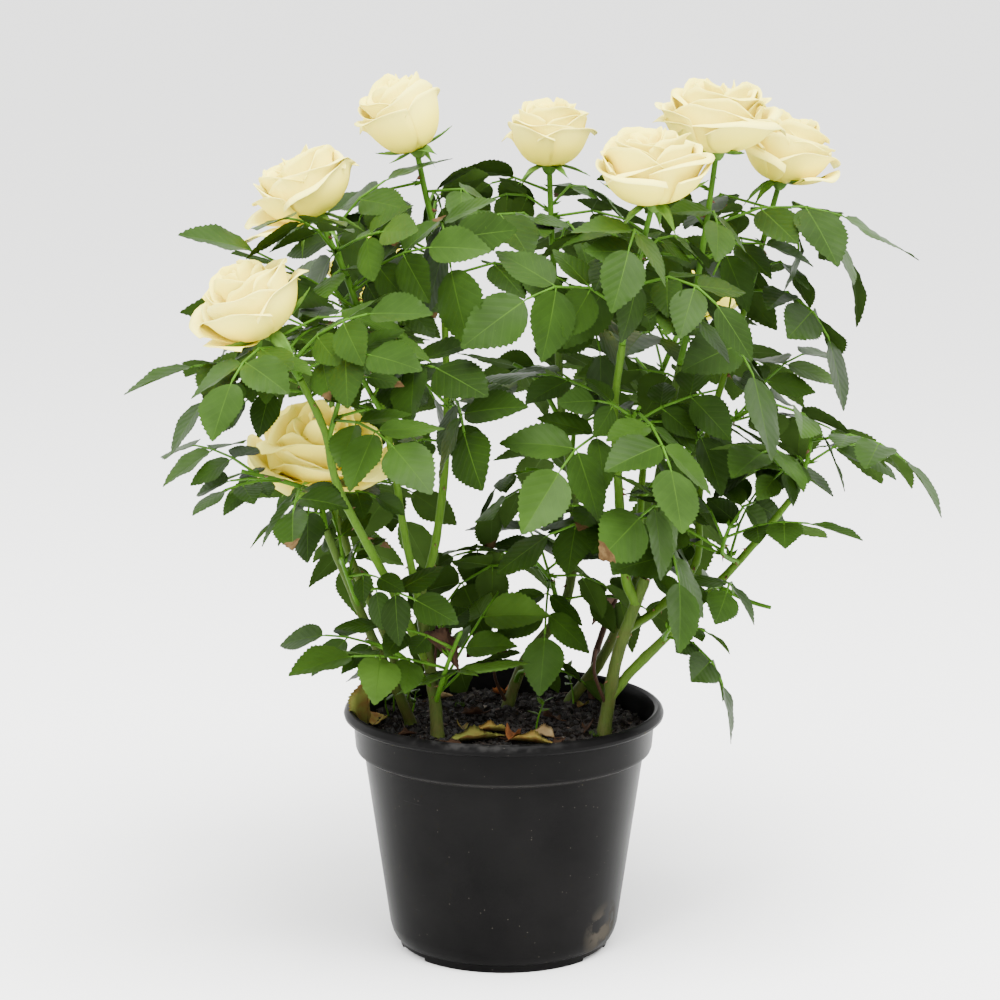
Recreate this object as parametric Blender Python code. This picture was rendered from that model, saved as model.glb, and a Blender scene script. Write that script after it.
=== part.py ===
"""Patio rose in a four-litre nursery pot, built as separate solids.

Metres, +Z up.  The origin is the centre of the pot's underside, which stands
on z = 0; -Y is the plant's front and +X its right-hand side.

The pot is a turned shell filled with peat.  Green canes stand on the peat,
and thinner boughs fork from them.  Each mass of foliage is one solid: a shoot
that grows on from a bough's tip or a cane's side, compound leaves set round
it by a seeded rule, and on flowering shoots the bloom at its end.
"""
import math
import random

import bmesh
import bpy
from mathutils import Matrix, Vector
from mathutils.bvhtree import BVHTree

GAP = 0.0003            # clearance between pieces that touch
COPE_GAP = 0.00036      # clearance of a limb's foot coped to its parent's side
UP = Vector((0.0, 0.0, 1.0))

# ---------------------------------------------------------------- pot sizes
POT_HEIGHT = 0.154
RIM_RADIUS = 0.1003         # rolled lip, outermost
COLLAR_TOP_RADIUS = 0.0945
COLLAR_FOOT_RADIUS = 0.0930
STEP_RADIUS = 0.0878        # wall just under the collar
BASE_RADIUS = 0.0720        # wall where it rounds into the base
FOOT_RADIUS = 0.0655        # ring that the pot stands on
FOOT_HEIGHT = 0.0045
FOOT_RING = 0.0040          # width of that ring
CORNER = 0.0005             # moulded corners
BASE_ROUND = 0.0150         # height at which the wall has rounded out
STEP_RISE = 0.0030          # height of the step from wall to collar
LIP_ROLL = 0.0058           # width of the rolled lip
LIP_SOFT = 0.0022           # how far its top curves in
LIP_BULGE = 0.0036          # height of its widest ring over its underside
FLOOR_ROUND = 0.0060
WALL = 0.0016
FLOOR_Z = 0.0060            # top of the pot's floor
PAD_RADIUS = 0.0300         # flat pad in the middle of the underside
CHANNEL_DEPTH = 0.0025      # drainage channel between pad and foot ring
COLLAR_Z = 0.1262           # where the collar begins
LIP_Z = 0.1463              # underside of the lip
POT_SIDES = 32
DRAIN_HOLES = 6
DRAIN_RADIUS = 0.0045
DRAIN_SIDES = 8
DRAIN_DEPTH = 0.0200        # length of the cutter that makes a hole
DRAIN_TURN = 17.0           # heading of the first hole, in degrees
SLOT_WIDTH = 0.0300         # gaps in the foot ring
SLOT_LENGTH = 0.0140
SLOT_HEIGHT = 0.0021
SLOT_ANGLES = (-28.0, 28.0, 152.0, 208.0)
SHARP_ANGLE = 35.0          # steeper edges of the pot are shaded sharp

# --------------------------------------------------------------- peat sizes
SOIL_Z = 0.1400
SOIL_SINK = 0.0030          # the peat falls away towards the wall
SOIL_CROWN_RADIUS = 0.0860  # its top is level out to here
SOIL_SLACK = 0.0008         # left between the peat and the wall
SOIL_SIDES = 20
LITTER = (                  # dead leaves on the peat: x, y, turn, length
    (-0.016, -0.040, 12.0, 0.036),
    (0.018, -0.046, -14.0, 0.030),
    (-0.079, 0.008, 78.0, 0.026),
)
LITTER_WIDTH = 0.50         # of a dead leaf's length

# ---------------------------------------------------------------- limbs
# Canes stand on the peat; boughs fork from a limb at a share of its length.
# Each one: parent, share along it, route through its bends and to its tip,
# radius at the foot, radius at the tip.
LIMBS = {
    "cane_left_front": (
        None, 0.0,
        ((-0.058, 0.004, SOIL_Z), (-0.068, -0.010, 0.169),
         (-0.083, -0.025, 0.207), (-0.108, -0.050, 0.276)),
        0.0036, 0.0024),
    "cane_left_back": (
        None, 0.0,
        ((-0.060, 0.040, SOIL_Z), (-0.075, 0.032, 0.190),
         (-0.097, 0.055, 0.234), (-0.112, 0.080, 0.282),
         (-0.112, 0.120, 0.327)),
        0.0031, 0.0021),
    "cane_front": (
        None, 0.0,
        ((-0.041, -0.029, SOIL_Z), (-0.043, -0.025, 0.166),
         (-0.050, -0.028, 0.215), (-0.051, -0.030, 0.243)),
        0.0041, 0.0034),
    "cane_centre_back": (
        None, 0.0,
        ((0.002, 0.046, SOIL_Z), (0.014, 0.055, 0.169),
         (0.040, 0.060, 0.207), (0.045, 0.055, 0.271),
         (0.037, 0.050, 0.326), (0.033, 0.045, 0.397)),
        0.0038, 0.0021),
    "cane_right_front": (
        None, 0.0,
        ((0.062, -0.020, SOIL_Z), (0.065, -0.015, 0.158),
         (0.071, -0.018, 0.192), (0.087, -0.020, 0.239)),
        0.0043, 0.0035),
    "cane_right_back": (
        None, 0.0,
        ((0.042, 0.058, SOIL_Z), (0.067, 0.052, 0.178),
         (0.092, 0.036, 0.250), (0.098, 0.027, 0.300),
         (0.108, 0.000, 0.369)),
        0.0038, 0.0022),
    "dead_cane": (
        None, 0.0,
        ((0.056, 0.065, SOIL_Z), (0.060, 0.072, 0.170),
         (0.074, 0.078, 0.209)),
        0.0026, 0.0018),
    "bough_left_front": (
        "cane_front", 0.42,
        ((-0.058, -0.034, 0.212), (-0.070, -0.050, 0.243),
         (-0.097, -0.090, 0.307), (-0.105, -0.101, 0.345),
         (-0.118, -0.115, 0.378)),
        0.0030, 0.0021),
    "bough_left_high": (
        "cane_front", 0.70,
        ((-0.060, -0.042, 0.270), (-0.068, -0.046, 0.323),
         (-0.083, -0.050, 0.398)),
        0.0026, 0.0019),
    "bough_left_inner": (
        "cane_front", 0.90,
        ((-0.042, -0.024, 0.262), (-0.035, -0.020, 0.326),
         (-0.036, -0.020, 0.409)),
        0.0028, 0.0020),
    "bough_centre_right": (
        "cane_right_front", 0.84,
        ((0.074, -0.026, 0.246), (0.068, -0.045, 0.320),
         (0.066, -0.054, 0.350), (0.070, -0.070, 0.392)),
        0.0034, 0.0022),
    "bough_right_outer": (
        "cane_right_front", 0.22,
        ((0.080, -0.012, 0.179), (0.106, -0.010, 0.205),
         (0.149, 0.000, 0.249), (0.177, 0.000, 0.284)),
        0.0034, 0.0021),
    "bough_right_inner": (
        "cane_right_front", 0.66,
        ((0.099, 0.000, 0.218), (0.120, 0.012, 0.243),
         (0.122, 0.020, 0.280), (0.128, 0.031, 0.322),
         (0.150, 0.035, 0.398)),
        0.0028, 0.0020),
    "bough_right_back": (
        "cane_right_back", 0.26,
        ((0.085, 0.070, 0.226), (0.090, 0.100, 0.279),
         (0.096, 0.130, 0.326)),
        0.0028, 0.0020),
}
CANE_SIDES = 6
CANE_STEPS = 2              # rings for each stretch between two bends
FOOT_FLARE = 1.15           # widening where a cane leaves the peat

# ---------------------------------------------------------------- shoots
# One mass of foliage each.  Parent limb, share along it (1 is its tip),
# route of the shoot, number of leaves, heading of the first leaf in degrees
# (0 is +X, 90 is +Y), droop of the leaves, length of the end leaflet, and
# the bloom if there is one.
SHOOTS = {
    "shoot_top_left": (
        "bough_left_inner", 1.0,
        ((-0.039, -0.020, 0.440), (-0.047, -0.020, 0.475),
         (-0.053, -0.020, 0.505)),
        5, 20.0, 75.0, 0.046, "bloom_top_left"),
    "shoot_left_high": (
        "bough_left_high", 1.0,
        ((-0.094, -0.050, 0.430), (-0.104, -0.050, 0.452),
         (-0.112, -0.050, 0.468)),
        5, 190.0, 25.0, 0.046, "bloom_left_high"),
    "shoot_left_front": (
        "bough_left_front", 1.0,
        ((-0.127, -0.116, 0.392), (-0.137, -0.115, 0.408)),
        5, 200.0, 40.0, 0.042, "bloom_left_front"),
    "shoot_left_low": (
        "cane_left_front", 1.0,
        ((-0.111, -0.040, 0.292), (-0.113, -0.012, 0.306)),
        4, 130.0, 60.0, 0.042, "bloom_left_low"),
    "shoot_centre": (
        "cane_centre_back", 1.0,
        ((0.030, 0.042, 0.440), (0.028, 0.040, 0.490)),
        5, 300.0, 70.0, 0.048, "bloom_centre"),
    "shoot_centre_right": (
        "bough_centre_right", 1.0,
        ((0.074, -0.078, 0.420), (0.087, -0.088, 0.480)),
        4, 200.0, 80.0, 0.044, "bloom_centre_right"),
    "shoot_right_high": (
        "cane_right_back", 1.0,
        ((0.115, -0.008, 0.405), (0.122, -0.015, 0.455),
         (0.128, -0.020, 0.504)),
        5, 300.0, 60.0, 0.050, "bloom_right_high"),
    "shoot_right_top": (
        "bough_right_inner", 1.0,
        ((0.158, 0.035, 0.430), (0.171, 0.032, 0.481)),
        5, 330.0, 90.0, 0.046, "bloom_right_top"),
    "shoot_back_left": (
        "cane_left_back", 1.0,
        ((-0.103, 0.120, 0.365), (-0.086, 0.110, 0.395)),
        4, 60.0, 50.0, 0.046, "bloom_back_left"),
    "shoot_back_right": (
        "bough_right_back", 1.0,
        ((0.112, 0.150, 0.360), (0.122, 0.162, 0.380)),
        5, 100.0, 55.0, 0.046, "bloom_back_right"),
    "spray_left_tip": (
        "bough_left_front", 0.92,
        ((-0.124, -0.088, 0.384), (-0.136, -0.070, 0.402)),
        3, 195.0, 50.0, 0.040, None),
    "spray_left_crown": (
        "bough_left_high", 0.90,
        ((-0.096, -0.036, 0.412), (-0.108, -0.030, 0.426)),
        2, 180.0, 40.0, 0.038, None),
    "spray_right_fill": (
        "bough_right_outer", 0.70,
        ((0.134, -0.022, 0.256), (0.138, -0.036, 0.276)),
        3, 60.0, 45.0, 0.042, None),
    "spray_right_under": (
        "bough_right_outer", 0.58,
        ((0.152, -0.018, 0.224), (0.164, -0.026, 0.222)),
        2, 280.0, 40.0, 0.034, None),
    "spray_left_far": (
        "bough_left_front", 0.62,
        ((-0.126, -0.100, 0.314), (-0.154, -0.104, 0.322)),
        4, 100.0, 15.0, 0.040, None),
    "spray_left_fork": (
        "bough_left_front", 0.80,
        ((-0.096, -0.105, 0.365), (-0.092, -0.110, 0.385)),
        2, 300.0, 50.0, 0.040, None),
    "spray_left_upper": (
        "bough_left_high", 0.72,
        ((-0.086, -0.060, 0.374), (-0.080, -0.074, 0.384)),
        2, 300.0, 40.0, 0.044, None),
    "spray_inner_left": (
        "bough_left_inner", 0.45,
        ((-0.032, -0.036, 0.348), (-0.030, -0.054, 0.360)),
        4, 220.0, 60.0, 0.042, None),
    "spray_low_left": (
        "cane_left_front", 0.60,
        ((-0.096, -0.050, 0.250), (-0.098, -0.066, 0.262)),
        2, 320.0, 40.0, 0.036, None),
    "spray_low_front": (
        "cane_front", 0.30,
        ((-0.064, -0.048, 0.198), (-0.084, -0.056, 0.208)),
        1, 165.0, 40.0, 0.036, None),
    "spray_front_low": (
        "cane_front", 0.20,
        ((-0.034, -0.044, 0.192), (-0.026, -0.056, 0.214)),
        3, 60.0, 20.0, 0.046, None),
    "spray_centre_low": (
        "cane_centre_back", 0.26,
        ((0.030, 0.040, 0.224), (0.018, 0.015, 0.244)),
        5, 340.0, 60.0, 0.044, None),
    "spray_soil": (
        "cane_centre_back", 0.06,
        ((0.010, 0.040, 0.164), (0.014, 0.030, 0.168)),
        1, 330.0, 50.0, 0.030, None),
    "spray_centre": (
        "cane_centre_back", 0.50,
        ((0.030, 0.050, 0.290), (0.014, 0.042, 0.296)),
        1, 200.0, 65.0, 0.036, None),
    "spray_centre_upper": (
        "cane_centre_back", 0.72,
        ((0.022, 0.052, 0.350), (0.006, 0.050, 0.362)),
        3, 320.0, 30.0, 0.044, None),
    "spray_right_centre": (
        "bough_centre_right", 0.62,
        ((0.076, -0.066, 0.346), (0.080, -0.080, 0.356)),
        4, 240.0, 40.0, 0.044, None),
    "spray_right_mid": (
        "bough_right_inner", 0.66,
        ((0.145, 0.010, 0.335), (0.160, -0.006, 0.348)),
        5, 350.0, 60.0, 0.046, None),
    "spray_right_outer": (
        "bough_right_outer", 1.0,
        ((0.186, -0.004, 0.306), (0.190, -0.006, 0.330)),
        5, 120.0, 60.0, 0.040, None),
    "spray_right_low": (
        "bough_centre_right", 0.25,
        ((0.090, -0.044, 0.272), (0.114, -0.054, 0.284)),
        5, 40.0, 50.0, 0.044, None),
    "spray_right_skirt": (
        "bough_right_outer", 0.30,
        ((0.100, -0.034, 0.208), (0.102, -0.046, 0.214)),
        2, 285.0, 60.0, 0.034, None),
    "spray_back_left_low": (
        "cane_left_back", 0.50,
        ((-0.112, 0.085, 0.262), (-0.120, 0.110, 0.280)),
        3, 100.0, 50.0, 0.042, None),
    "spray_back_left_high": (
        "cane_left_back", 0.92,
        ((-0.086, 0.135, 0.340), (-0.064, 0.145, 0.352)),
        4, 60.0, 50.0, 0.044, None),
    "spray_back_centre": (
        "cane_centre_back", 0.60,
        ((0.046, 0.090, 0.320), (0.052, 0.118, 0.336)),
        5, 90.0, 50.0, 0.044, None),
    "spray_back_right_low": (
        "bough_right_back", 0.55,
        ((0.112, 0.112, 0.290), (0.138, 0.122, 0.306)),
        4, 60.0, 50.0, 0.044, None),
}
SHOOT_RADII = (0.0021, 0.0017)      # of a shoot that ends in a bloom, foot and tip
SPRAY_RADII = (0.0018, 0.0012)      # of one without
SHOOT_SIDES = 4
SHOOT_STEPS = 2
LEAF_START = 0.10           # leaves begin at this share of the shoot
LEAF_SPAN = 0.84            # and cover this much of it
LEAF_SPAN_BLOOM = 0.76      # or this much where a bloom ends it
DIVERGENCE = 137.5          # turn from each leaf to the next, in degrees
TURN_SPREAD = 16.0
LEAF_SHIFT = 0.03           # shares of the shoot, either way
SIZE_SPREAD = (0.86, 1.12)
TRIES = 14                  # poses tried tried before a leaf is left out
ROLL_SPREAD = 22.0
OUTWARD_TILT = 42.0         # leaves turn their faces away from the crown's middle
SEED = 142

# ---------------------------------------------------------------- leaves
PETIOLE_RADIUS = 0.0010
RACHIS_TIP_RADIUS = 0.0007
BLADE_WIDTH = 0.66          # of the leaflet's length
BLADE_THICKNESS = 0.022     # of the leaflet's length, at its root
BLADE_FOLD = 0.10           # rise of the edges, of the half width
BLADE_EDGE = (              # share of its length, share of its half width
    (0.24, 0.86),
    (0.62, 0.90),
)
EDGE_SINK = 0.03            # the blade bows down towards its tip, of its length
TIP_SINK = 0.06
LEAFLET_PAIRS = (           # place on the rachis, size, of the end leaflet
    (0.42, 0.76),
    (0.74, 0.94),
)
SHORT_PAIRS = (             # a leaf of three leaflets, close under a bloom
    (0.62, 0.92),
)
RACHIS_LENGTH = 1.55        # of the end leaflet's length
SHORT_RACHIS = 0.72         # of that, on a leaf of three leaflets
STEM_TURN = 0.60            # how far a petiole turns square to a leaning stem
PAIR_ANGLE = 64.0
PAIR_DROOP = 0.32
END_DROOP = 0.14
STALK_WIDTH = 0.0022        # root of a side leaflet
LEAF_LIFT = (15.0, 50.0)    # rise of the petiole over level, in degrees
DROOP_SPREAD = 18.0         # either side of the shoot's own droop
CLEARANCE = 0.0007          # kept between leaves and everything else
ROOT_SKIP = 0.25            # of the first stretch, which is inside the stem
BLADE_SKIP = 0.002          # of a leaflet, which is inside its rachis
POT_KEEP_RADIUS = 0.115     # no leaf hangs down beside the pot
POT_KEEP_Z = 0.135

# ---------------------------------------------------------------- blooms
# Where each bloom faces, its radius, its height and how far it has opened.
BLOOMS = {
    "bloom_top_left": ((-0.42, -0.10, 0.90), 0.0260, 0.050, 0.35),
    "bloom_left_high": ((-0.45, -0.22, 0.86), 0.0310, 0.042, 0.55),
    "bloom_left_front": ((-0.58, -0.36, 0.73), 0.0325, 0.044, 0.70),
    "bloom_left_low": ((0.00, -0.34, 0.94), 0.0405, 0.030, 1.00),
    "bloom_centre": ((0.00, -0.05, 1.00), 0.0265, 0.040, 0.40),
    "bloom_centre_right": ((-0.10, -0.25, 0.96), 0.0335, 0.044, 0.60),
    "bloom_right_high": ((0.00, -0.18, 0.98), 0.0365, 0.048, 0.80),
    "bloom_right_top": ((0.40, -0.05, 0.91), 0.0310, 0.042, 0.70),
    "bloom_back_left": ((0.10, 0.45, 0.89), 0.0280, 0.040, 0.50),
    "bloom_back_right": ((0.20, 0.60, 0.77), 0.0320, 0.042, 0.60),
}
BLOOM_SIDES = 10            # two for each of five petals
BLOOM_PROFILE = (           # radius, its change as it opens, height, its change
    (0.09, 0.00, -0.05, 0.00),
    (0.16, 0.00, 0.01, 0.00),
    (0.30, 0.00, 0.05, 0.00),
    (0.66, 0.10, 0.22, 0.00),
    (0.92, 0.05, 0.52, 0.00),
    (1.00, 0.00, 0.80, -0.12),
    (0.84, 0.00, 0.92, -0.10),
    (0.52, 0.00, 1.00, -0.05),
    (0.22, 0.00, 0.90, -0.20),
)
BLOOM_FOOT = -0.05          # heights of the points that close it
BLOOM_HEART = 0.80
LOBE_REACH = 0.06           # petals stand out between their notches
LOBE_RISE = 0.05
LOBED_FROM = 4              # rings of the profile that are lobed
RIM_LEVELS = (5, 6)         # and those whose lobes rise too
BLOOM_SEAT = 0.002          # the shoot's end sunk in the bloom
SEPAL_LEVEL = 1             # ring of the bloom that is drawn out into sepals
SEPAL_REACH = 0.80
SEPAL_SAG = -0.02

# --------------------------------------------------------------- open places
# Where light shows through the bush: no leaf grows here.
# Centre and half sizes of each egg-shaped space.
OPENINGS = (
    ((0.008, 0.000, 0.322), (0.028, 0.120, 0.034)),     # between the two halves
    ((-0.014, -0.010, 0.425), (0.014, 0.120, 0.030)),   # below the top blooms
    ((-0.113, -0.085, 0.338), (0.036, 0.065, 0.024)),   # before the low bloom
    ((0.070, -0.080, 0.205), (0.034, 0.060, 0.050)),    # before the right cane
    ((-0.180, 0.000, 0.230), (0.050, 0.200, 0.036)),    # under the left crown
    ((-0.150, 0.000, 0.130), (0.080, 0.200, 0.028)),
    ((0.226, 0.000, 0.216), (0.050, 0.200, 0.050)),     # under the right crown
    ((0.205, 0.000, 0.150), (0.060, 0.200, 0.032)),
    ((0.000, -0.120, 0.130), (0.130, 0.060, 0.032)),    # in front of the pot
)

COLOURS = {
    "black_plastic": ((0.012, 0.011, 0.011), 0.42),
    "peat": ((0.018, 0.012, 0.008), 0.95),
    "dead_leaf": ((0.20, 0.13, 0.05), 0.80),
    "dead_wood": ((0.09, 0.05, 0.03), 0.85),
    "cane_green": ((0.10, 0.20, 0.05), 0.60),
    "foliage": ((0.06, 0.18, 0.03), 0.55),
}


def clear_scene():
    """Start from an empty file."""
    for item in list(bpy.data.objects):
        bpy.data.objects.remove(item)


def material(name):
    """One Principled material from the colour table."""
    found = bpy.data.materials.get(name)
    if found:
        return found
    colour, roughness = COLOURS[name]
    made = bpy.data.materials.new(name)
    made.use_nodes = True
    shader = made.node_tree.nodes["Principled BSDF"]
    shader.inputs["Base Color"].default_value = (*colour, 1.0)
    shader.inputs["Roughness"].default_value = roughness
    made.diffuse_color = (*colour, 1.0)
    return made


def mesh_object(name, verts, faces, finish):
    """A new object from points and faces."""
    mesh = bpy.data.meshes.new(name)
    mesh.from_pydata([tuple(v) for v in verts], [], faces)
    mesh.update()
    mesh.materials.append(material(finish))
    made = bpy.data.objects.new(name, mesh)
    bpy.context.scene.collection.objects.link(made)
    return made


# ------------------------------------------------------------------ curves
def smooth_route(points, steps):
    """Points along a rounded curve through the given bends."""
    bends = [Vector(p) for p in points]
    ends = [bends[0] * 2 - bends[1]] + bends + [bends[-1] * 2 - bends[-2]]
    route = []
    for i in range(len(bends) - 1):
        a, b, c, d = ends[i:i + 4]
        for k in range(steps):
            t = k / steps
            route.append(0.5 * ((2 * b) + (c - a) * t
                                + (2 * a - 5 * b + 4 * c - d) * t * t
                                + (3 * b - a - 3 * c + d) * t ** 3))
    route.append(bends[-1])
    return route


def lengths_along(route):
    """Distance of each point from the route's start."""
    reach = [0.0]
    for a, b in zip(route, route[1:]):
        reach.append(reach[-1] + (b - a).length)
    return reach


def place_on(route, share):
    """Point and heading at a share of the route's length."""
    reach = lengths_along(route)
    wanted = share * reach[-1]
    for i in range(len(route) - 1):
        if wanted <= reach[i + 1] or i == len(route) - 2:
            part = (wanted - reach[i]) / (reach[i + 1] - reach[i])
            heading = (route[i + 1] - route[i]).normalized()
            return route[i].lerp(route[i + 1], part), heading
    return route[-1], UP


def ring_frames(route):
    """Heading and side at each point, turning no more than the route does."""
    frames = []
    side = None
    for i, point in enumerate(route):
        before = route[max(i - 1, 0)]
        after = route[min(i + 1, len(route) - 1)]
        heading = (after - before).normalized()
        if side is None:
            side = heading.orthogonal().normalized()
        side = (side - heading * side.dot(heading)).normalized()
        frames.append((heading, side))
    return frames


def tube_points(route, radii, sides):
    """Rings of points round a route."""
    rings = []
    for (heading, side), point, radius in zip(ring_frames(route), route, radii):
        other = heading.cross(side)
        ring = []
        for k in range(sides):
            turn = 2 * math.pi * k / sides
            ring.append(point + (side * math.cos(turn) + other * math.sin(turn)) * radius)
        rings.append(ring)
    return rings


def tube_faces(ring_count, sides):
    """Faces of a closed tube: sides, then a fan at each end."""
    faces = []
    for i in range(ring_count - 1):
        for k in range(sides):
            a = i * sides + k
            b = i * sides + (k + 1) % sides
            faces.append((a, b, b + sides, a + sides))
    start = ring_count * sides
    last = (ring_count - 1) * sides
    for k in range(sides):
        faces.append((start, (k + 1) % sides, k))
        faces.append((start + 1, last + k, last + (k + 1) % sides))
    return faces


def tube(route, radii, sides):
    """Points and faces of a closed tube along a route."""
    rings = tube_points(route, radii, sides)
    verts = [p for ring in rings for p in ring]
    verts += [route[0], route[-1]]
    return verts, tube_faces(len(rings), sides)


def taper(r0, r1, route):
    """Radius at each point, falling evenly from the foot to the tip."""
    reach = lengths_along(route)
    return [r0 + (r1 - r0) * d / reach[-1] for d in reach]


# --------------------------------------------------------------------- pot
def turned(name, profile, sides, finish):
    """A closed ring or vessel turned about the vertical axis."""
    verts = []
    for radius, z in profile:
        for k in range(sides):
            turn = 2 * math.pi * k / sides
            verts.append((radius * math.cos(turn), radius * math.sin(turn), z))
    faces = []
    for i in range(len(profile) - 1):
        for k in range(sides):
            a = i * sides + k
            b = i * sides + (k + 1) % sides
            faces.append((a, b, b + sides, a + sides))
    start = len(verts)
    verts.append((0.0, 0.0, profile[0][1]))
    verts.append((0.0, 0.0, profile[-1][1]))
    last = (len(profile) - 1) * sides
    for k in range(sides):
        faces.append((start, (k + 1) % sides, k))
        faces.append((start + 1, last + k, last + (k + 1) % sides))
    return mesh_object(name, verts, faces, finish)


def cutter(name, location, turn, size=None, radius=None):
    """A box or a drum to cut with, hidden from renders."""
    if radius:
        bpy.ops.mesh.primitive_cylinder_add(vertices=DRAIN_SIDES, radius=radius, depth=size[2],
                                            location=location)
    else:
        bpy.ops.mesh.primitive_cube_add(size=1.0, location=location)
    made = bpy.context.object
    made.name = name
    if not radius:
        made.scale = size
    made.rotation_euler = (0.0, 0.0, turn)
    made.hide_render = True
    made.display_type = "WIRE"
    return made


def cut(target, tool):
    """Take the cutter's shape out of the target."""
    modifier = target.modifiers.new("cut", "BOOLEAN")
    modifier.operation = "DIFFERENCE"
    modifier.solver = "EXACT"
    modifier.object = tool


def make_pot():
    """Tapered pot with a stepped collar, a rolled lip and a notched foot."""
    profile = [
        (PAD_RADIUS, 0.0),
        (PAD_RADIUS + CHANNEL_DEPTH, CHANNEL_DEPTH),
        (FOOT_RADIUS - FOOT_RING - CORNER, CHANNEL_DEPTH),
        (FOOT_RADIUS - FOOT_RING, 0.0),
        (FOOT_RADIUS, 0.0),
        (FOOT_RADIUS + CORNER, FOOT_HEIGHT),
        (BASE_RADIUS - 4 * CORNER, FOOT_HEIGHT + 6 * CORNER),
        (BASE_RADIUS, BASE_ROUND),
        (STEP_RADIUS, COLLAR_Z - 2 * CORNER),
        (COLLAR_FOOT_RADIUS, COLLAR_Z + STEP_RISE),
        (COLLAR_TOP_RADIUS, LIP_Z),
        (RIM_RADIUS - 2 * CORNER, LIP_Z + CORNER),
        (RIM_RADIUS, LIP_Z + LIP_BULGE),
        (RIM_RADIUS - LIP_SOFT, POT_HEIGHT),
        (RIM_RADIUS - LIP_ROLL, POT_HEIGHT - 2 * CORNER),
        (COLLAR_TOP_RADIUS - WALL, LIP_Z + 2 * CORNER),
        (COLLAR_FOOT_RADIUS - WALL, COLLAR_Z + STEP_RISE + 2 * CORNER),
        (STEP_RADIUS - WALL, COLLAR_Z),
        (BASE_RADIUS - WALL, BASE_ROUND + 2 * CORNER),
        (BASE_RADIUS - FLOOR_ROUND, FLOOR_Z),
    ]
    pot = turned("pot", profile, POT_SIDES, "black_plastic")
    ring = (PAD_RADIUS + FOOT_RADIUS) / 2
    for i in range(DRAIN_HOLES):
        turn = math.radians(DRAIN_TURN) + 2 * math.pi * i / DRAIN_HOLES
        place = (ring * math.cos(turn), ring * math.sin(turn), FLOOR_Z / 2)
        cut(pot, cutter(f"drain_{i}", place, turn, (0, 0, DRAIN_DEPTH), DRAIN_RADIUS))
    for i, degrees in enumerate(SLOT_ANGLES):
        turn = math.radians(degrees)
        place = (FOOT_RADIUS * math.cos(turn), FOOT_RADIUS * math.sin(turn), 0.0)
        size = (SLOT_LENGTH, SLOT_WIDTH, 2 * SLOT_HEIGHT)
        cut(pot, cutter(f"slot_{i}", place, turn, size))
    pot.data.shade_smooth()
    pot.data.set_sharp_from_angle(angle=math.radians(SHARP_ANGLE))
    return pot


def make_soil():
    """The peat that fills the pot, a little sunk towards the wall."""
    top = SOIL_Z - SOIL_SINK
    profile = [
        (BASE_RADIUS - FLOOR_ROUND - SOIL_SLACK, FLOOR_Z + GAP),
        (BASE_RADIUS - WALL - SOIL_SLACK, BASE_ROUND + 4 * CORNER),
        (STEP_RADIUS - WALL - SOIL_SLACK, COLLAR_Z),
        (COLLAR_FOOT_RADIUS - WALL - SOIL_SLACK, COLLAR_Z + STEP_RISE + 4 * CORNER),
        (COLLAR_TOP_RADIUS - WALL - 2 * SOIL_SLACK, top),
        (SOIL_CROWN_RADIUS, SOIL_Z),
    ]
    return turned("soil", profile, SOIL_SIDES, "peat")


# ------------------------------------------------------------------- limbs
class Plant:
    """What has grown so far: routes of the limbs and what leaves must miss."""

    def __init__(self):
        self.routes = {}
        self.radii = {}
        self.solids = []

    def add_solid(self, name, verts, faces):
        points = [Vector(v) for v in verts]
        low = Vector([min(p[i] for p in points) for i in range(3)])
        high = Vector([max(p[i] for p in points) for i in range(3)])
        self.solids.append((name, low, high, BVHTree.FromPolygons(points, faces)))

    def touching(self, verts, faces, parent=None):
        """Name of a grown piece, not its own parent or mass, that the shape crosses."""
        points = [Vector(v) for v in verts]
        low = Vector([min(p[i] for p in points) for i in range(3)])
        high = Vector([max(p[i] for p in points) for i in range(3)])
        tree = None
        for name, other_low, other_high, other in self.solids:
            if name == parent:
                continue
            if any(low[i] > other_high[i] or high[i] < other_low[i] for i in range(3)):
                continue
            tree = tree or BVHTree.FromPolygons(points, faces)
            if tree.overlap(other):
                return name
        return None


def limb_shape(plant, route, radii, sides, parent, share):
    """A tapering limb.  Its foot is flat on the peat or flat to its parent's
    tip; from a parent's side it starts on the parent's axis, to be coped."""
    rings = tube_points(route, radii, sides)
    centre = route[0]
    if parent is None or share >= 1.0:
        level = Vector((0.0, 0.0, SOIL_Z + GAP)) if parent is None else route[0]
        facing = UP if parent is None else place_on(plant.routes[parent], 1.0)[1]
        heading = (route[1] - route[0]).normalized()
        rings[0] = [p + heading * ((level - p).dot(facing) / heading.dot(facing))
                    for p in rings[0]]
        centre = centre + heading * ((level - centre).dot(facing) / heading.dot(facing))
    verts = [p for ring in rings for p in ring] + [centre, route[-1]]
    return verts, tube_faces(len(rings), sides)


def cope(plant, body, parent):
    """Cut a limb's foot to its parent's side, a gap clear of it."""
    route = plant.routes[parent]
    radii = [r + COPE_GAP for r in taper(*plant.radii[parent], route)]
    guard = mesh_object(f"{parent}_guard", *tube(route, radii, CANE_SIDES), "cane_green")
    cut(body, guard)
    bpy.context.view_layer.objects.active = body
    bpy.ops.object.modifier_apply(modifier="cut")
    bpy.data.objects.remove(guard)
    keep_outer_shell(body)


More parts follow.
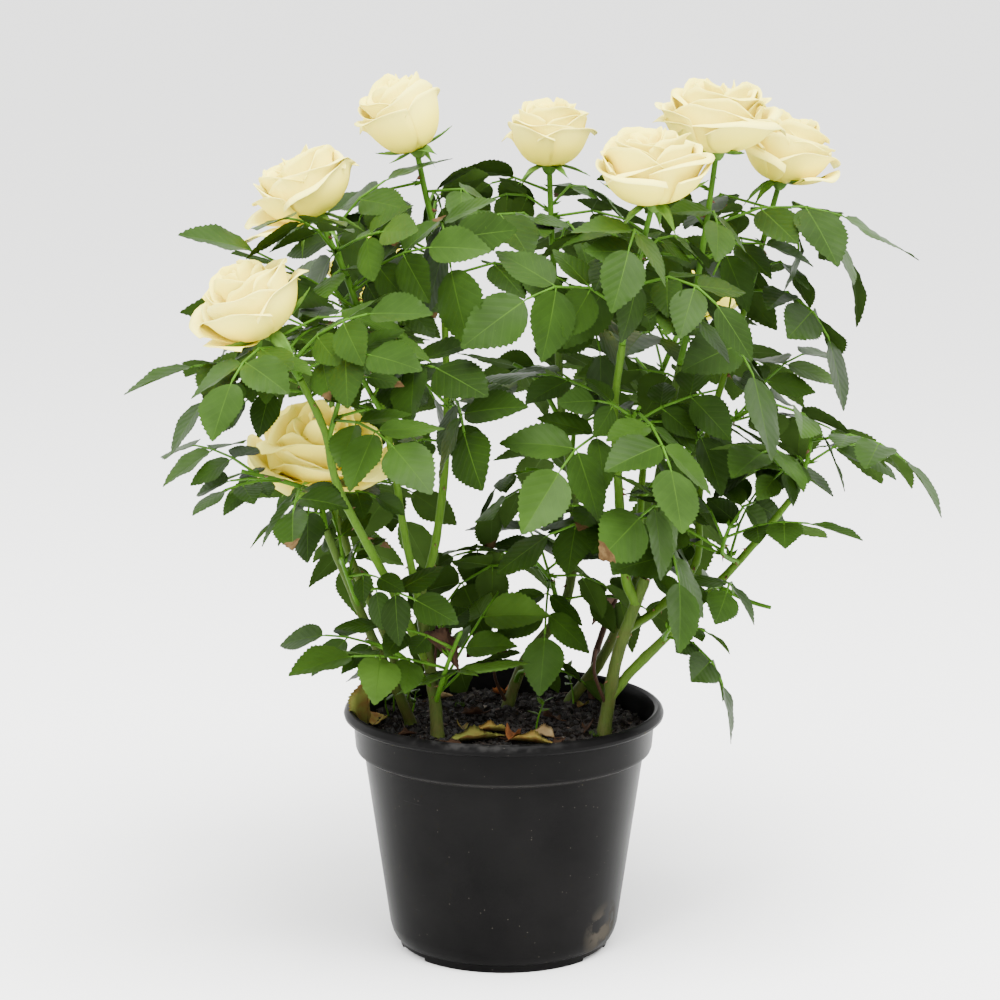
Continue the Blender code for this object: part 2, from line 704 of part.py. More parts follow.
def make_limbs(plant):
    """Canes and boughs, each one a tapering limb."""
    for name, (parent, share, bends, r0, r1) in LIMBS.items():
        if parent:
            start, _ = place_on(plant.routes[parent], share)
            bends = (start,) + bends
        route = smooth_route(bends, CANE_STEPS)
        radii = taper(r0, r1, route)
        if parent is None:
            radii[0] = r0 * FOOT_FLARE
        verts, faces = limb_shape(plant, route, radii, CANE_SIDES, parent, share)
        plant.routes[name] = route
        plant.radii[name] = (r0, r1)
        touched = plant.touching(verts, faces, parent)
        if touched:
            print(name, "touches", touched)
        plant.add_solid(name, verts, faces)
        finish = "dead_wood" if name == "dead_cane" else "cane_green"
        limb = mesh_object(name, verts, faces, finish)
        if parent:
            cope(plant, limb, parent)
        limb.data.shade_smooth()


# ------------------------------------------------------------------ leaves
def blade(root, heading, normal, length, width, grow=0.0):
    """A leaflet: oval outline, folded along the midrib, thick at its root."""
    side = normal.cross(heading).normalized()
    lift = normal.normalized()
    thick = length * BLADE_THICKNESS / 2 + grow
    half = width / 2 + grow
    rise = half * BLADE_FOLD
    tip = root + heading * (length + grow) - lift * (TIP_SINK * length)
    verts = [root + lift * thick, root - lift * thick]
    for sign in (1, -1):
        for along, out in BLADE_EDGE:
            edge = root + heading * (length * along) + side * (sign * half * out)
            verts.append(edge + lift * (rise - EDGE_SINK * length * along))
    verts.append(tip)
    faces = [
        (0, 3, 2), (0, 6, 3), (0, 4, 5), (0, 5, 6),
        (1, 2, 3), (1, 3, 6), (1, 5, 4), (1, 6, 5),
        (0, 2, 1), (0, 1, 4),
    ]
    return verts, faces


def outline(root, aim, face, along_rachis, length, width):
    """Edge of a leaflet from its near side to its far side, tip in the middle."""
    rise = width / 2 * BLADE_FOLD
    points = []
    near, far = BLADE_EDGE
    for sign, (along, out) in ((-1, near), (-1, far), (0, (1.0, 0.0)), (1, far), (1, near)):
        sink = TIP_SINK * length * along * along
        edge = root + aim * (length * along) + along_rachis * (sign * width / 2 * out)
        points.append(edge + face * (rise * out - sink))
    return points


def wing(top, low, edge, flip):
    """Upper and lower faces of a leaflet between two rings of its rachis."""
    near_top, far_top = top
    near_low, far_low = low
    near, a, b, tip, c, d, far = edge
    faces = [
        (near_top, near, a), (near_top, a, b), (near_top, b, tip),
        (near_top, tip, far_top), (far_top, tip, c), (far_top, c, d), (far_top, d, far),
        (near_low, a, near), (near_low, b, a), (near_low, tip, b),
        (near_low, far_low, tip), (far_low, c, tip), (far_low, d, c), (far_low, far, d),
    ]
    return [tuple(reversed(f)) for f in faces] if flip else faces


def leaf_solid(rings, wings, end):
    """One closed compound leaf: a four-sided rachis with leaflets drawn out
    of its edges, and the end leaflet closing it."""
    verts = []
    for centre, across, normal, radius in rings:
        verts += [centre + normal * radius, centre + across * radius,
                  centre - normal * radius, centre - across * radius]
    faces = [(0, 3, 2, 1)]
    for i in range(len(rings) - 1):
        a, b = 4 * i, 4 * i + 4
        for sign, side in ((1, 1), (-1, 3)):
            leaflet = wings.get((i, sign))
            flip = sign < 0
            if leaflet is None:
                quads = [(a, a + side, b + side, b), (a + side, a + 2, b + 2, b + side)]
                faces += [tuple(reversed(q)) for q in quads] if flip else quads
                continue
            root = (verts[a + side] + verts[b + side]) / 2
            first = len(verts)
            verts += outline(root, *leaflet)
            edge = (a + side, *range(first, first + 5), b + side)
            faces += wing((a, b), (a + 2, b + 2), edge, flip)
    last = 4 * len(rings) - 4
    if end is None:
        faces.append((last, last + 1, last + 2, last + 3))
        return verts, faces
    first = len(verts)
    verts += outline(rings[-1][0], *end)
    edge = (last + 3, *range(first, first + 5), last + 1)
    for p, q in zip(edge, edge[1:]):
        faces += [(last, q, p), (last + 2, p, q)]
    return verts, faces


def turned_about(vector, axis, degrees):
    """A vector turned about an axis."""
    return Matrix.Rotation(math.radians(degrees), 3, axis) @ vector


def leaf_pose(root, stem_heading, azimuth, lift, droop, roll, length, pairs):
    """Rings of the rachis, and the leaflets keyed by ring and side."""
    turn = math.radians(azimuth)
    flat = Vector((math.cos(turn), math.sin(turn), 0.0))
    out = (flat - stem_heading * flat.dot(stem_heading) * STEM_TURN).normalized()
    across = out.cross(UP).normalized()
    rachis = length * RACHIS_LENGTH * (1.0 if pairs == 2 else SHORT_RACHIS)
    stations = LEAFLET_PAIRS if pairs == 2 else SHORT_PAIRS
    half = STALK_WIDTH / rachis / 2
    shares = [0.0]
    for place, _ in stations:
        shares += [place - half, place + half]
    shares.append(1.0)
    rings = []
    spot = root
    before = 0.0
    for share in shares:
        middle = (before + share) / 2
        spot = spot + turned_about(out, across, lift - droop * middle) * (share - before) * rachis
        before = share
        heading = turned_about(out, across, lift - droop * share)
        side = turned_about(across, heading, roll)
        radius = PETIOLE_RADIUS + (RACHIS_TIP_RADIUS - PETIOLE_RADIUS) * share
        rings.append((spot, side, side.cross(heading).normalized(), radius))
    wings = {}
    for i, (_, size) in enumerate(stations):
        ring = 1 + 2 * i
        side, normal = rings[ring][1], rings[ring][2]
        local = normal.cross(side)
        for sign in (1, -1):
            aim = turned_about(local, normal, -sign * PAIR_ANGLE)
            aim = (aim - normal * PAIR_DROOP).normalized()
            face = (normal + aim * PAIR_DROOP).normalized()
            along = face.cross(aim) * sign
            span = length * size
            wings[(ring, sign)] = (aim, face, along, span, span * BLADE_WIDTH)
    aim = (heading - rings[-1][2] * END_DROOP).normalized()
    face = (rings[-1][2] + heading * END_DROOP).normalized()
    end = (aim, face, aim.cross(face), length, length * BLADE_WIDTH)
    return rings, wings, end


def tilt_outward(root, azimuth):
    """Roll that turns a leaf's face away from the middle of the crown."""
    turn = math.radians(azimuth)
    across = Vector((math.sin(turn), -math.cos(turn), 0.0))
    outward = Vector((root.x, root.y, 0.0)).normalized()
    return OUTWARD_TILT * outward.dot(across)


def grow_leaf(plant, rings, wings, end):
    """The leaf's solid without the leaflets that have no room, or None."""
    route = [ring[0] for ring in rings]
    route[0] = route[0].lerp(route[1], ROOT_SKIP)
    if plant.touching(*tube(route, [r[3] + CLEARANCE for r in rings], 3)):
        return None
    kept = {}
    for place, leaflet in list(wings.items()) + [("end", end)]:
        root = rings[-1 if place == "end" else place[0]][0]
        aim, face, _, length, width = leaflet
        if in_opening(root + aim * length) or in_opening(root + aim * length * 0.5):
            return None
        if not plant.touching(*blade(root + aim * BLADE_SKIP, aim, face, length, width, CLEARANCE)):
            kept[place] = leaflet
    if len(kept) < len(wings):
        return None
    end = kept.pop("end", None)
    return leaf_solid(rings, kept, end)


def in_opening(point):
    """True inside one of the open places."""
    for centre, half in OPENINGS:
        offset = [(point[i] - centre[i]) / half[i] for i in range(3)]
        if sum(o * o for o in offset) < 1.0:
            return True
    return point.z < POT_KEEP_Z and math.hypot(point.x, point.y) < POT_KEEP_RADIUS


# ------------------------------------------------------------------ blooms
def bloom_shape(base, facing, radius, height, opened):
    """A rounded cup of petals on a five-pointed calyx, with a lobed rim and
    a sunken heart."""
    side = facing.orthogonal().normalized()
    other = facing.cross(side)
    verts = []
    for level, (share, spread, along, settle) in enumerate(BLOOM_PROFILE):
        for k in range(BLOOM_SIDES):
            turn = 2 * math.pi * k / BLOOM_SIDES
            lobe = 1 - 2 * (k % 2)
            reach = radius * (share + spread * opened)
            reach *= 1 + LOBE_REACH * lobe * (level >= LOBED_FROM)
            rise = height * (along + settle * opened + LOBE_RISE * lobe * (level in RIM_LEVELS))
            if level == SEPAL_LEVEL and lobe < 0:
                reach = radius * SEPAL_REACH
                rise = height * SEPAL_SAG
            verts.append(base + facing * rise
                         + (side * math.cos(turn) + other * math.sin(turn)) * reach)
    verts += [base + facing * height * BLOOM_FOOT, base + facing * height * BLOOM_HEART]
    return verts, tube_faces(len(BLOOM_PROFILE), BLOOM_SIDES)


# ------------------------------------------------------------------ masses
def fuse(name, parts, finish):
    """One solid from many closed parts: a single union on a collection."""
    verts, faces = parts[0]
    body = mesh_object(name, verts, faces, finish)
    group = bpy.data.collections.new(f"{name}_parts")
    bpy.context.scene.collection.children.link(group)
    for i, (part_verts, part_faces) in enumerate(parts[1:]):
        piece = mesh_object(f"{name}_part_{i}", part_verts, part_faces, finish)
        bpy.context.scene.collection.objects.unlink(piece)
        group.objects.link(piece)
    modifier = body.modifiers.new("fuse", "BOOLEAN")
    modifier.operation = "UNION"
    modifier.operand_type = "COLLECTION"
    modifier.collection = group
    modifier.solver = "EXACT"
    bpy.context.view_layer.objects.active = body
    bpy.ops.object.modifier_apply(modifier=modifier.name)
    for piece in list(group.objects):
        bpy.data.objects.remove(piece)
    bpy.data.collections.remove(group)
    keep_outer_shell(body)
    return body


def keep_outer_shell(body):
    """Drop loose scraps and sealed hollows, keeping the widest shell."""
    mesh = bmesh.new()
    mesh.from_mesh(body.data)
    bmesh.ops.triangulate(mesh, faces=mesh.faces)
    left = set(mesh.verts)
    shells = []
    while left:
        seed = left.pop()
        shell = [seed]
        heap = [seed]
        while heap:
            vert = heap.pop()
            for edge in vert.link_edges:
                other = edge.other_vert(vert)
                if other in left:
                    left.remove(other)
                    shell.append(other)
                    heap.append(other)
        shells.append(shell)
    shells.sort(key=len)
    for shell in shells[:-1]:
        bmesh.ops.delete(mesh, geom=shell, context="VERTS")
    mesh.to_mesh(body.data)
    mesh.free()


def shoot_route(plant, parent, share, bends):
    """Route of a shoot, from its parent's tip or side."""
    start, heading = place_on(plant.routes[parent], share)
    if share >= 1.0:
        start = start + heading * GAP
    return smooth_route((start,) + bends, SHOOT_STEPS)


def start_mass(plant, name):
    """The shoot of one mass, and its bloom."""
    parent, share, bends, _, _, _, _, bloom = SHOOTS[name]
    route = shoot_route(plant, parent, share, bends)
    radii = taper(*(SHOOT_RADII if bloom else SPRAY_RADII), route)
    parts = [limb_shape(plant, route, radii, SHOOT_SIDES, parent, share)]
    if bloom:
        facing, radius, height, opened = BLOOMS[bloom]
        facing = Vector(facing).normalized()
        base = route[-1] - facing * BLOOM_SEAT
        parts.append(bloom_shape(base, facing, radius, height, opened))
    for shape in parts:
        touched = plant.touching(*shape, parent)
        if touched:
            print(name, "touches", touched)
    for shape in parts:
        plant.add_solid(name, *shape)
    return route, parts


def make_mass(plant, index, name, route, parts):
    """One mass of foliage: leaves grown round the shoot, fused with it."""
    parent, share, _, count, first, droop, length, bloom = SHOOTS[name]
    chance = random.Random(SEED + index)
    grown = 0
    for i in range(count):
        along = LEAF_START + (LEAF_SPAN_BLOOM if bloom else LEAF_SPAN) * (i + 0.5) / count
        for _ in range(TRIES):
            azimuth = first + DIVERGENCE * i + chance.uniform(-1, 1) * TURN_SPREAD
            lift = chance.uniform(*LEAF_LIFT)
            sag = droop + chance.uniform(-1, 1) * DROOP_SPREAD
            root, heading = place_on(route, along + chance.uniform(-1, 1) * LEAF_SHIFT)
            roll = tilt_outward(root, azimuth) + chance.uniform(-1, 1) * ROLL_SPREAD
            size = length * chance.uniform(*SIZE_SPREAD)
            pairs = 1 if bloom and i == count - 1 else 2
            pose = leaf_pose(root, heading, azimuth, lift, sag, roll, size, pairs)
            leaf = grow_leaf(plant, *pose)
            if leaf and not plant.touching(*leaf, name):
                parts.append(leaf)
                plant.add_solid(name, *leaf)
                grown += 1
                break
    body = fuse(name, parts, "foliage")
    if share < 1.0:
        cope(plant, body, parent)
    print(name, "leaves", grown, "of", count, "triangles", len(body.data.polygons))


def make_litter():
    """Dead leaves lying on the peat."""
    for i, (x, y, turn, length) in enumerate(LITTER):
        aim = Vector((math.cos(math.radians(turn)), math.sin(math.radians(turn)), 0.0))
        root = Vector((x, y, SOIL_Z)) - aim * length / 2
        verts, faces = blade(root, aim, UP, length, length * LITTER_WIDTH)
        low = min(v.z for v in verts)
        verts = [v + UP * (SOIL_Z + GAP - low) for v in verts]
        mesh_object(f"dead_leaf_{i + 1}", verts, faces, "dead_leaf")


def make_plant():
    """The whole part."""
    clear_scene()
    plant = Plant()
    pot = make_pot()
    soil = make_soil()
    for solid in (pot, soil):
        verts = [v.co.copy() for v in solid.data.vertices]
        plant.add_solid(solid.name, verts, [tuple(p.vertices) for p in solid.data.polygons])
    make_litter()
    make_limbs(plant)
    started = {name: start_mass(plant, name) for name in SHOOTS}
    for index, name in enumerate(SHOOTS):
        make_mass(plant, index, name, *started[name])


make_plant()
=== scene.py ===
# %% [markdown]
# # A patio rose in its nursery pot
# A bushy rose stands in a black moulded pot.  Green canes rise from dark peat,
# fork into thinner boughs, and carry compound leaves and cream blooms.
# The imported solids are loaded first, as a fixed frame: every piece below is made
# in their space, in metres, and most take the place of one or more of them.

# %% Load the frame
import math
import random

import bpy
import numpy as np
from mathutils import Matrix, Vector
from mathutils.bvhtree import BVHTree


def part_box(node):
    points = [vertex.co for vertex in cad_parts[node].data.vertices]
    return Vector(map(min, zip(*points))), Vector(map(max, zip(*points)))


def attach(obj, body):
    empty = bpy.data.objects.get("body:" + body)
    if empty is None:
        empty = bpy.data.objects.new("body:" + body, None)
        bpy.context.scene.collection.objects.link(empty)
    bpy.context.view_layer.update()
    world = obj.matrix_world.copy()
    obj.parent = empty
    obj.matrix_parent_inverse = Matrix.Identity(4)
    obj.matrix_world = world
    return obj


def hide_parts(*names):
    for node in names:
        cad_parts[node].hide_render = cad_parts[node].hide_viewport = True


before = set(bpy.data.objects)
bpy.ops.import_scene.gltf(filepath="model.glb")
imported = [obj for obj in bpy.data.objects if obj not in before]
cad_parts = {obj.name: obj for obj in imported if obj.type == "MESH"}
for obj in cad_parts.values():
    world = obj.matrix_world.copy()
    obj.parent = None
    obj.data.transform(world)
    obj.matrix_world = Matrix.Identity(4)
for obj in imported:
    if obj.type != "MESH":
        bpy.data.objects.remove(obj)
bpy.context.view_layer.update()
UP = Vector((0.0, 0.0, 1.0))

# %% [markdown]
# ## Camera, floor and light
# A plant like this is usually lit from all round, so that no leaf falls into deep
# shadow.  One broad light above and a pale sky light the leaves; upright ones at the
# sides and in front give the pot its long soft reflections.

# %% Camera
CAMERA_PLACE = Vector((-0.0024, -2.0, 0.6768))
CAMERA_TARGET = Vector((-0.0024, 0.0, 0.2843))
LENS = 118.5                # millimetres, on a 36 mm sensor


def point_at(item, target):
    """Turn a camera or a light towards a point."""
    item.rotation_euler = (target - item.location).to_track_quat("-Z", "Y").to_euler()


bpy.ops.object.camera_add(location=CAMERA_PLACE)
camera = bpy.context.object
camera.name = "camera"
camera.data.lens = LENS
camera.data.sensor_width = 36.0
camera.data.clip_end = 100.0
point_at(camera, CAMERA_TARGET)
bpy.context.scene.camera = camera
print("camera looks down", round(math.degrees(math.asin(
    (CAMERA_PLACE - CAMERA_TARGET).normalized().z)), 1), "degrees")

# %% Floor, sky and lights
FLOOR_SIZE = 60.0
SKY_STRENGTH = 2.65
LIGHTS = {                  # place, aim, width, height, power in watts
    "light_top": ((0.3, -0.8, 2.2), (0.0, 0.0, 0.3), 1.8, 1.4, 195.0),
    "light_left": ((-1.5, 0.9, 0.7), (0.0, 0.0, 0.2), 0.8, 1.6, 9.0),
    "light_right": ((1.5, 0.9, 0.7), (0.0, 0.0, 0.2), 1.2, 1.6, 8.0),
    "light_front": ((-0.9, -1.7, 0.9), (0.0, 0.0, 0.2), 0.30, 1.4, 26.0),
}


def plain_material(name, colour, roughness):
    """A material with one Principled shader."""
    made = bpy.data.materials.new(name)
    made.use_nodes = True
    shader = made.node_tree.nodes["Principled BSDF"]
    shader.inputs["Base Color"].default_value = (*colour, 1.0)
    shader.inputs["Roughness"].default_value = roughness
    made.diffuse_color = (*colour, 1.0)
    return made


bpy.ops.mesh.primitive_plane_add(size=FLOOR_SIZE, location=(0.0, 0.0, 0.0))
floor = bpy.context.object
floor.name = "floor"
floor.data.materials.append(plain_material("pale_floor", (0.93, 0.93, 0.92), 0.9))

sky = bpy.data.worlds.new("pale_sky")
sky.use_nodes = True
glow = sky.node_tree.nodes["Background"].inputs
glow["Color"].default_value = (1.0, 1.0, 1.0, 1.0)
glow["Strength"].default_value = SKY_STRENGTH
bpy.context.scene.world = sky

for name, (place, target, width, height, power) in LIGHTS.items():
    bpy.ops.object.light_add(type="AREA", location=place)
    light = bpy.context.object
    light.name = name
    light.data.shape = "RECTANGLE"
    light.data.size = width
    light.data.size_y = height
    light.data.energy = power
    light.visible_camera = False
    point_at(light, Vector(target))
print("lights:", len(LIGHTS))

# %% [markdown]
# ## Helpers for finishes
# Three effects are small node groups: a slow drift between two colours, a field of
# specks, and a relief for the Bump node.  They read Object coordinates, so they stay
# fixed to the piece.

# %% Node helpers
def set_socket(tree, socket, value):
    """Link an input to a socket, or give it a number, a vector or a colour."""
    if isinstance(value, bpy.types.NodeSocket):
        tree.links.new(value, socket)
    elif socket.type == "RGBA":
        socket.default_value = (*value, 1.0)
    else:
        socket.default_value = value


def add_node(tree, kind, links=None, **settings):
    """A node with its settings; links maps an input's name to a socket or value."""
    node = tree.nodes.new(kind)
    for key, value in settings.items():
        setattr(node, key, value)
    for key, value in (links or {}).items():
        set_socket(tree, node.inputs[key], value)
    return node


def mix_colours(tree, mask, first, second):
    """The second colour where the mask is 1."""
    return add_node(tree, "ShaderNodeMix", {0: mask, 6: first, 7: second}, data_type="RGBA").outputs[2]


def mix_values(tree, mask, first, second):
    """The second value where the mask is 1."""
    return add_node(tree, "ShaderNodeMix", {0: mask, 2: first, 3: second}, data_type="FLOAT").outputs[0]


def calculate(tree, operation, *values):
    """One step of arithmetic on sockets or numbers."""
    return add_node(tree, "ShaderNodeMath", dict(enumerate(values)), operation=operation).outputs[0]


def map_range(tree, value, low, high, to_low=0.0, to_high=1.0):
    """A value's range stretched to another, and kept inside it."""
    return add_node(tree, "ShaderNodeMapRange", {
        "Value": value, "From Min": low, "From Max": high,
        "To Min": to_low, "To Max": to_high}).outputs["Result"]


def noise(tree, place, scale, detail=2.0):
    """A cloudy pattern as a value."""
    return add_node(tree, "ShaderNodeTexNoise", {
        "Vector": place, "Scale": scale, "Detail": detail}).outputs["Fac"]


def stretched_noise(tree, place, stretch, turn=(0.0, 0.0, 0.0)):
    """A cloudy pattern drawn out into lines."""
    drawn = add_node(tree, "ShaderNodeMapping", {"Vector": place, "Rotation": turn, "Scale": stretch})
    return noise(tree, drawn.outputs["Vector"], 1.0)


def split_place(tree, place):
    """The X, Y and Z of a place, as three sockets."""
    return add_node(tree, "ShaderNodeSeparateXYZ", {"Vector": place}).outputs


def bump(tree, shader, height, distance, strength=1.0):
    """Feed a height to the shader's normal."""
    node = add_node(tree, "ShaderNodeBump", {
        "Height": height, "Distance": distance, "Strength": strength})
    tree.links.new(node.outputs["Normal"], shader.inputs["Normal"])

# %% Node groups
def start_group(name, inputs, outputs):
    """An empty node group.  Each input has its default: none for a place, four
    numbers for a colour, one for a value."""
    tree = bpy.data.node_groups.new(name, "ShaderNodeTree")
    for key, value in inputs.items():
        kind = "Vector" if value is None else "Color" if isinstance(value, tuple) else "Float"
        socket = tree.interface.new_socket(key, in_out="INPUT", socket_type="NodeSocket" + kind)
        if value is not None:
            socket.default_value = value
    for key, kind in outputs.items():
        tree.interface.new_socket(key, in_out="OUTPUT", socket_type="NodeSocket" + kind)
    return tree, tree.nodes.new("NodeGroupInput").outputs, tree.nodes.new("NodeGroupOutput").inputs


def make_drift():
    """Slow patches of a second colour."""
    tree, ins, outs = start_group("Colour drift", {
        "Vector": None, "Colour": (0.5, 0.5, 0.5, 1.0), "Second colour": (0.2, 0.2, 0.2, 1.0),
        "Scale": 40.0, "From": 0.35, "To": 0.65}, {"Colour": "Color", "Mask": "Float"})
    mask = map_range(tree, noise(tree, ins["Vector"], ins["Scale"], 4.0), ins["From"], ins["To"])
    tree.links.new(mix_colours(tree, mask, ins["Colour"], ins["Second colour"]), outs["Colour"])
    tree.links.new(mask, outs["Mask"])
    return tree


def make_specks():
    """Round specks in some of the cells of a cell pattern."""
    tree, ins, outs = start_group("Specks", {
        "Vector": None, "Scale": 300.0, "Size": 0.2, "Share": 0.3}, {"Mask": "Float"})
    cells = add_node(tree, "ShaderNodeTexVoronoi", {"Vector": ins["Vector"], "Scale": ins["Scale"]})
    near = calculate(tree, "LESS_THAN", cells.outputs["Distance"], ins["Size"])
    split = add_node(tree, "ShaderNodeSeparateColor", {"Color": cells.outputs["Color"]})
    chosen = calculate(tree, "LESS_THAN", split.outputs[0], ins["Share"])
    tree.links.new(calculate(tree, "MULTIPLY", near, chosen), outs["Mask"])
    return tree


def make_relief():
    """Height for a Bump node: a coarse and a fine noise together."""
    tree, ins, outs = start_group("Relief", {
        "Vector": None, "Coarse": 200.0, "Fine": 900.0, "Fine share": 0.4}, {"Height": "Float"})
    coarse = noise(tree, ins["Vector"], ins["Coarse"], 3.0)
    fine = noise(tree, ins["Vector"], ins["Fine"])
    tree.links.new(mix_values(tree, ins["Fine share"], coarse, fine), outs["Height"])
    return tree


DRIFT = make_drift()
SPECKS = make_specks()
RELIEF = make_relief()
print("node groups:", [g.name for g in (DRIFT, SPECKS, RELIEF)])

# %% Material helpers
def start_material(name, colour, roughness, specular=0.5):
    """A Principled material; returns it with its tree, shader and coordinates."""
    made = plain_material(name, colour, roughness)
    tree = made.node_tree
    shader = tree.nodes["Principled BSDF"]
    shader.inputs["Specular IOR Level"].default_value = specular
    return made, tree, shader, tree.nodes.new("ShaderNodeTexCoord").outputs["Object"]


def use_group(tree, group, **values):
    """The outputs of a node group placed in a material with its own values."""
    node = add_node(tree, "ShaderNodeGroup", node_tree=group)
    for key, value in values.items():
        set_socket(tree, node.inputs[key.replace("_", " ")], value)
    return node.outputs


def patches(tree, place, scale, low, high):
    """Slow patches, as a mask alone."""
    return use_group(tree, DRIFT, Vector=place, Scale=scale, From=low, To=high)["Mask"]


def drifting(name, colour, second, scale, roughness, specular=0.5, relief=0.0, low=0.4, high=0.62):
    """A material whose colour drifts between two, with a fine relief."""
    made, tree, shader, place = start_material(name, colour, roughness, specular)
    drift = use_group(tree, DRIFT, Vector=place, Colour=colour, Second_colour=second,
                      Scale=scale, From=low, To=high)
    tree.links.new(drift["Colour"], shader.inputs["Base Color"])
    if relief:
        height = use_group(tree, RELIEF, Vector=place, Coarse=scale * 4, Fine=scale * 14)["Height"]
        bump(tree, shader, height, relief)
    return made

# %% [markdown]
# ## Helpers for meshes
# Each piece is finished the same way: its place is applied to its mesh, so that the
# object sits at the origin, and it then rides on the root body; the solids that it
# takes the place of are hidden.

# %% Mesh helpers
def deselect():
    """Leave nothing selected."""
    for item in bpy.context.selected_objects:
        item.select_set(False)


def select_only(*items):
    """Select these objects; the first is the active one."""
    deselect()
    for item in items:
        item.select_set(True)
    bpy.context.view_layer.objects.active = items[0]


def finish(item, slot, *nodes):
    """Apply the place, ride on the body and hide the solids replaced; the slot is not used."""
    select_only(item)
    bpy.ops.object.transform_apply(location=True, rotation=True, scale=True)
    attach(item, "root")
    if nodes:
        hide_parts(*nodes)
    triangles = sum(len(p.vertices) - 2 for p in item.data.polygons)
    print(item.name, "triangles", triangles)
    return item


def modify(item, kind, **settings):
    """Add a modifier with these settings, and apply it."""
    modifier = item.modifiers.new(kind.lower(), kind)
    for key, value in settings.items():
        setattr(modifier, key, value)
    select_only(item)
    bpy.ops.object.modifier_apply(modifier=modifier.name)


def coat(item, material):
    """Give a piece this material alone."""
    item.data.materials.clear()
    item.data.materials.append(material)


def clouds(name, size, depth=2):
    """A cloud texture for relief that is real shape."""
    made = bpy.data.textures.new(name, "CLOUDS")
    made.noise_scale = size
    made.noise_depth = depth
    return made


def around(radius, turn, height=0.0):
    """A place round the upright axis."""
    return Vector((radius * math.cos(turn), radius * math.sin(turn), height))


class Heap:
    """Points, faces, colours and pattern places of many small things."""

    def __init__(self):
        self.verts = []
        self.faces = []
        self.picks = []
        self.uvs = []
        self.count = 0

    def add(self, verts, faces, picks, uvs=None):
        """Put one thing on the heap; picks is one colour or one for each face."""
        self.verts.append(np.asarray(verts, np.float32))
        self.faces.extend(tuple(i + self.count for i in face) for face in faces)
        self.picks.extend([picks] * len(faces) if isinstance(picks, int) else picks)
        if uvs is not None:
            self.uvs.append(np.asarray(uvs, np.float32))
        self.count += len(verts)

    def build(self, name, finishes):
        """The whole heap as one joined mesh."""
        mesh = bpy.data.meshes.new(name)
        mesh.vertices.add(self.count)
        mesh.vertices.foreach_set("co", np.concatenate(self.verts).ravel())
        counts = np.array([len(f) for f in self.faces], np.int32)
        corners = np.fromiter((i for f in self.faces for i in f), np.int32, counts.sum())
        mesh.loops.add(len(corners))
        mesh.loops.foreach_set("vertex_index", corners)
        mesh.polygons.add(len(counts))
        mesh.polygons.foreach_set("loop_start", np.concatenate(([0], np.cumsum(counts)[:-1])))
        mesh.polygons.foreach_set("material_index", np.asarray(self.picks, np.int32))
        mesh.update(calc_edges=True)
        if self.uvs:
            layer = mesh.uv_layers.new(name="pattern")
            layer.data.foreach_set("uv", np.concatenate(self.uvs)[corners].ravel())
        mesh.validate()
        mesh.shade_smooth()
        for material in finishes:
            mesh.materials.append(material)
        made = bpy.data.objects.new(name, mesh)
        bpy.context.scene.collection.objects.link(made)
        return made

# %% [markdown]
# ## The pot
# A nursery pot is moulded in thin black plastic: a tapering wall, a stepped collar,
# a rolled lip and a notched foot.  Its section is drawn once as a line of edges and
# spun about the axis.  Booleans cut the notches in the foot and the drainage holes,
# and a Bevel modifier then rounds each moulded corner.

# %% Pot sizes
POT_HEIGHT = 0.154
RIM_RADIUS = 0.1003
COLLAR_TOP_RADIUS = 0.0945
COLLAR_FOOT_RADIUS = 0.0930
STEP_RADIUS = 0.0878
BASE_RADIUS = 0.0720
FOOT_RADIUS = 0.0655
FOOT_HEIGHT = 0.0045
FOOT_RING = 0.0040
WALL = 0.0016
FLOOR_Z = 0.0060
PAD_RADIUS = 0.0300
CHANNEL_DEPTH = 0.0025
COLLAR_Z = 0.1262
LIP_Z = 0.1463
CORNER = 0.0005
BASE_ROUND = 0.0150
STEP_RISE = 0.0030
LIP_ROLL = 0.0058
LIP_BULGE = 0.0036
FLOOR_ROUND = 0.0060
SPIN_STEPS = 128
DRAIN_HOLES = 6
DRAIN_RADIUS = 0.0045
DRAIN_TURN = 17.0
DRAIN_SIDES = 24
DRAIN_DEPTH = 0.02          # of the drill, which passes the floor
ROUNDING = 0.0004           # of moulded corners
ROUNDED_FROM = 28.0         # corners sharper than this, in degrees
SMOOTH_UP_TO = 40.0
MERGE_WITHIN = 0.00002      # of points that meet after spinning
SLOT_SIZE = (0.0140, 0.0300, 0.0042)
SLOT_ANGLES = (-28.0, 28.0, 152.0, 208.0)
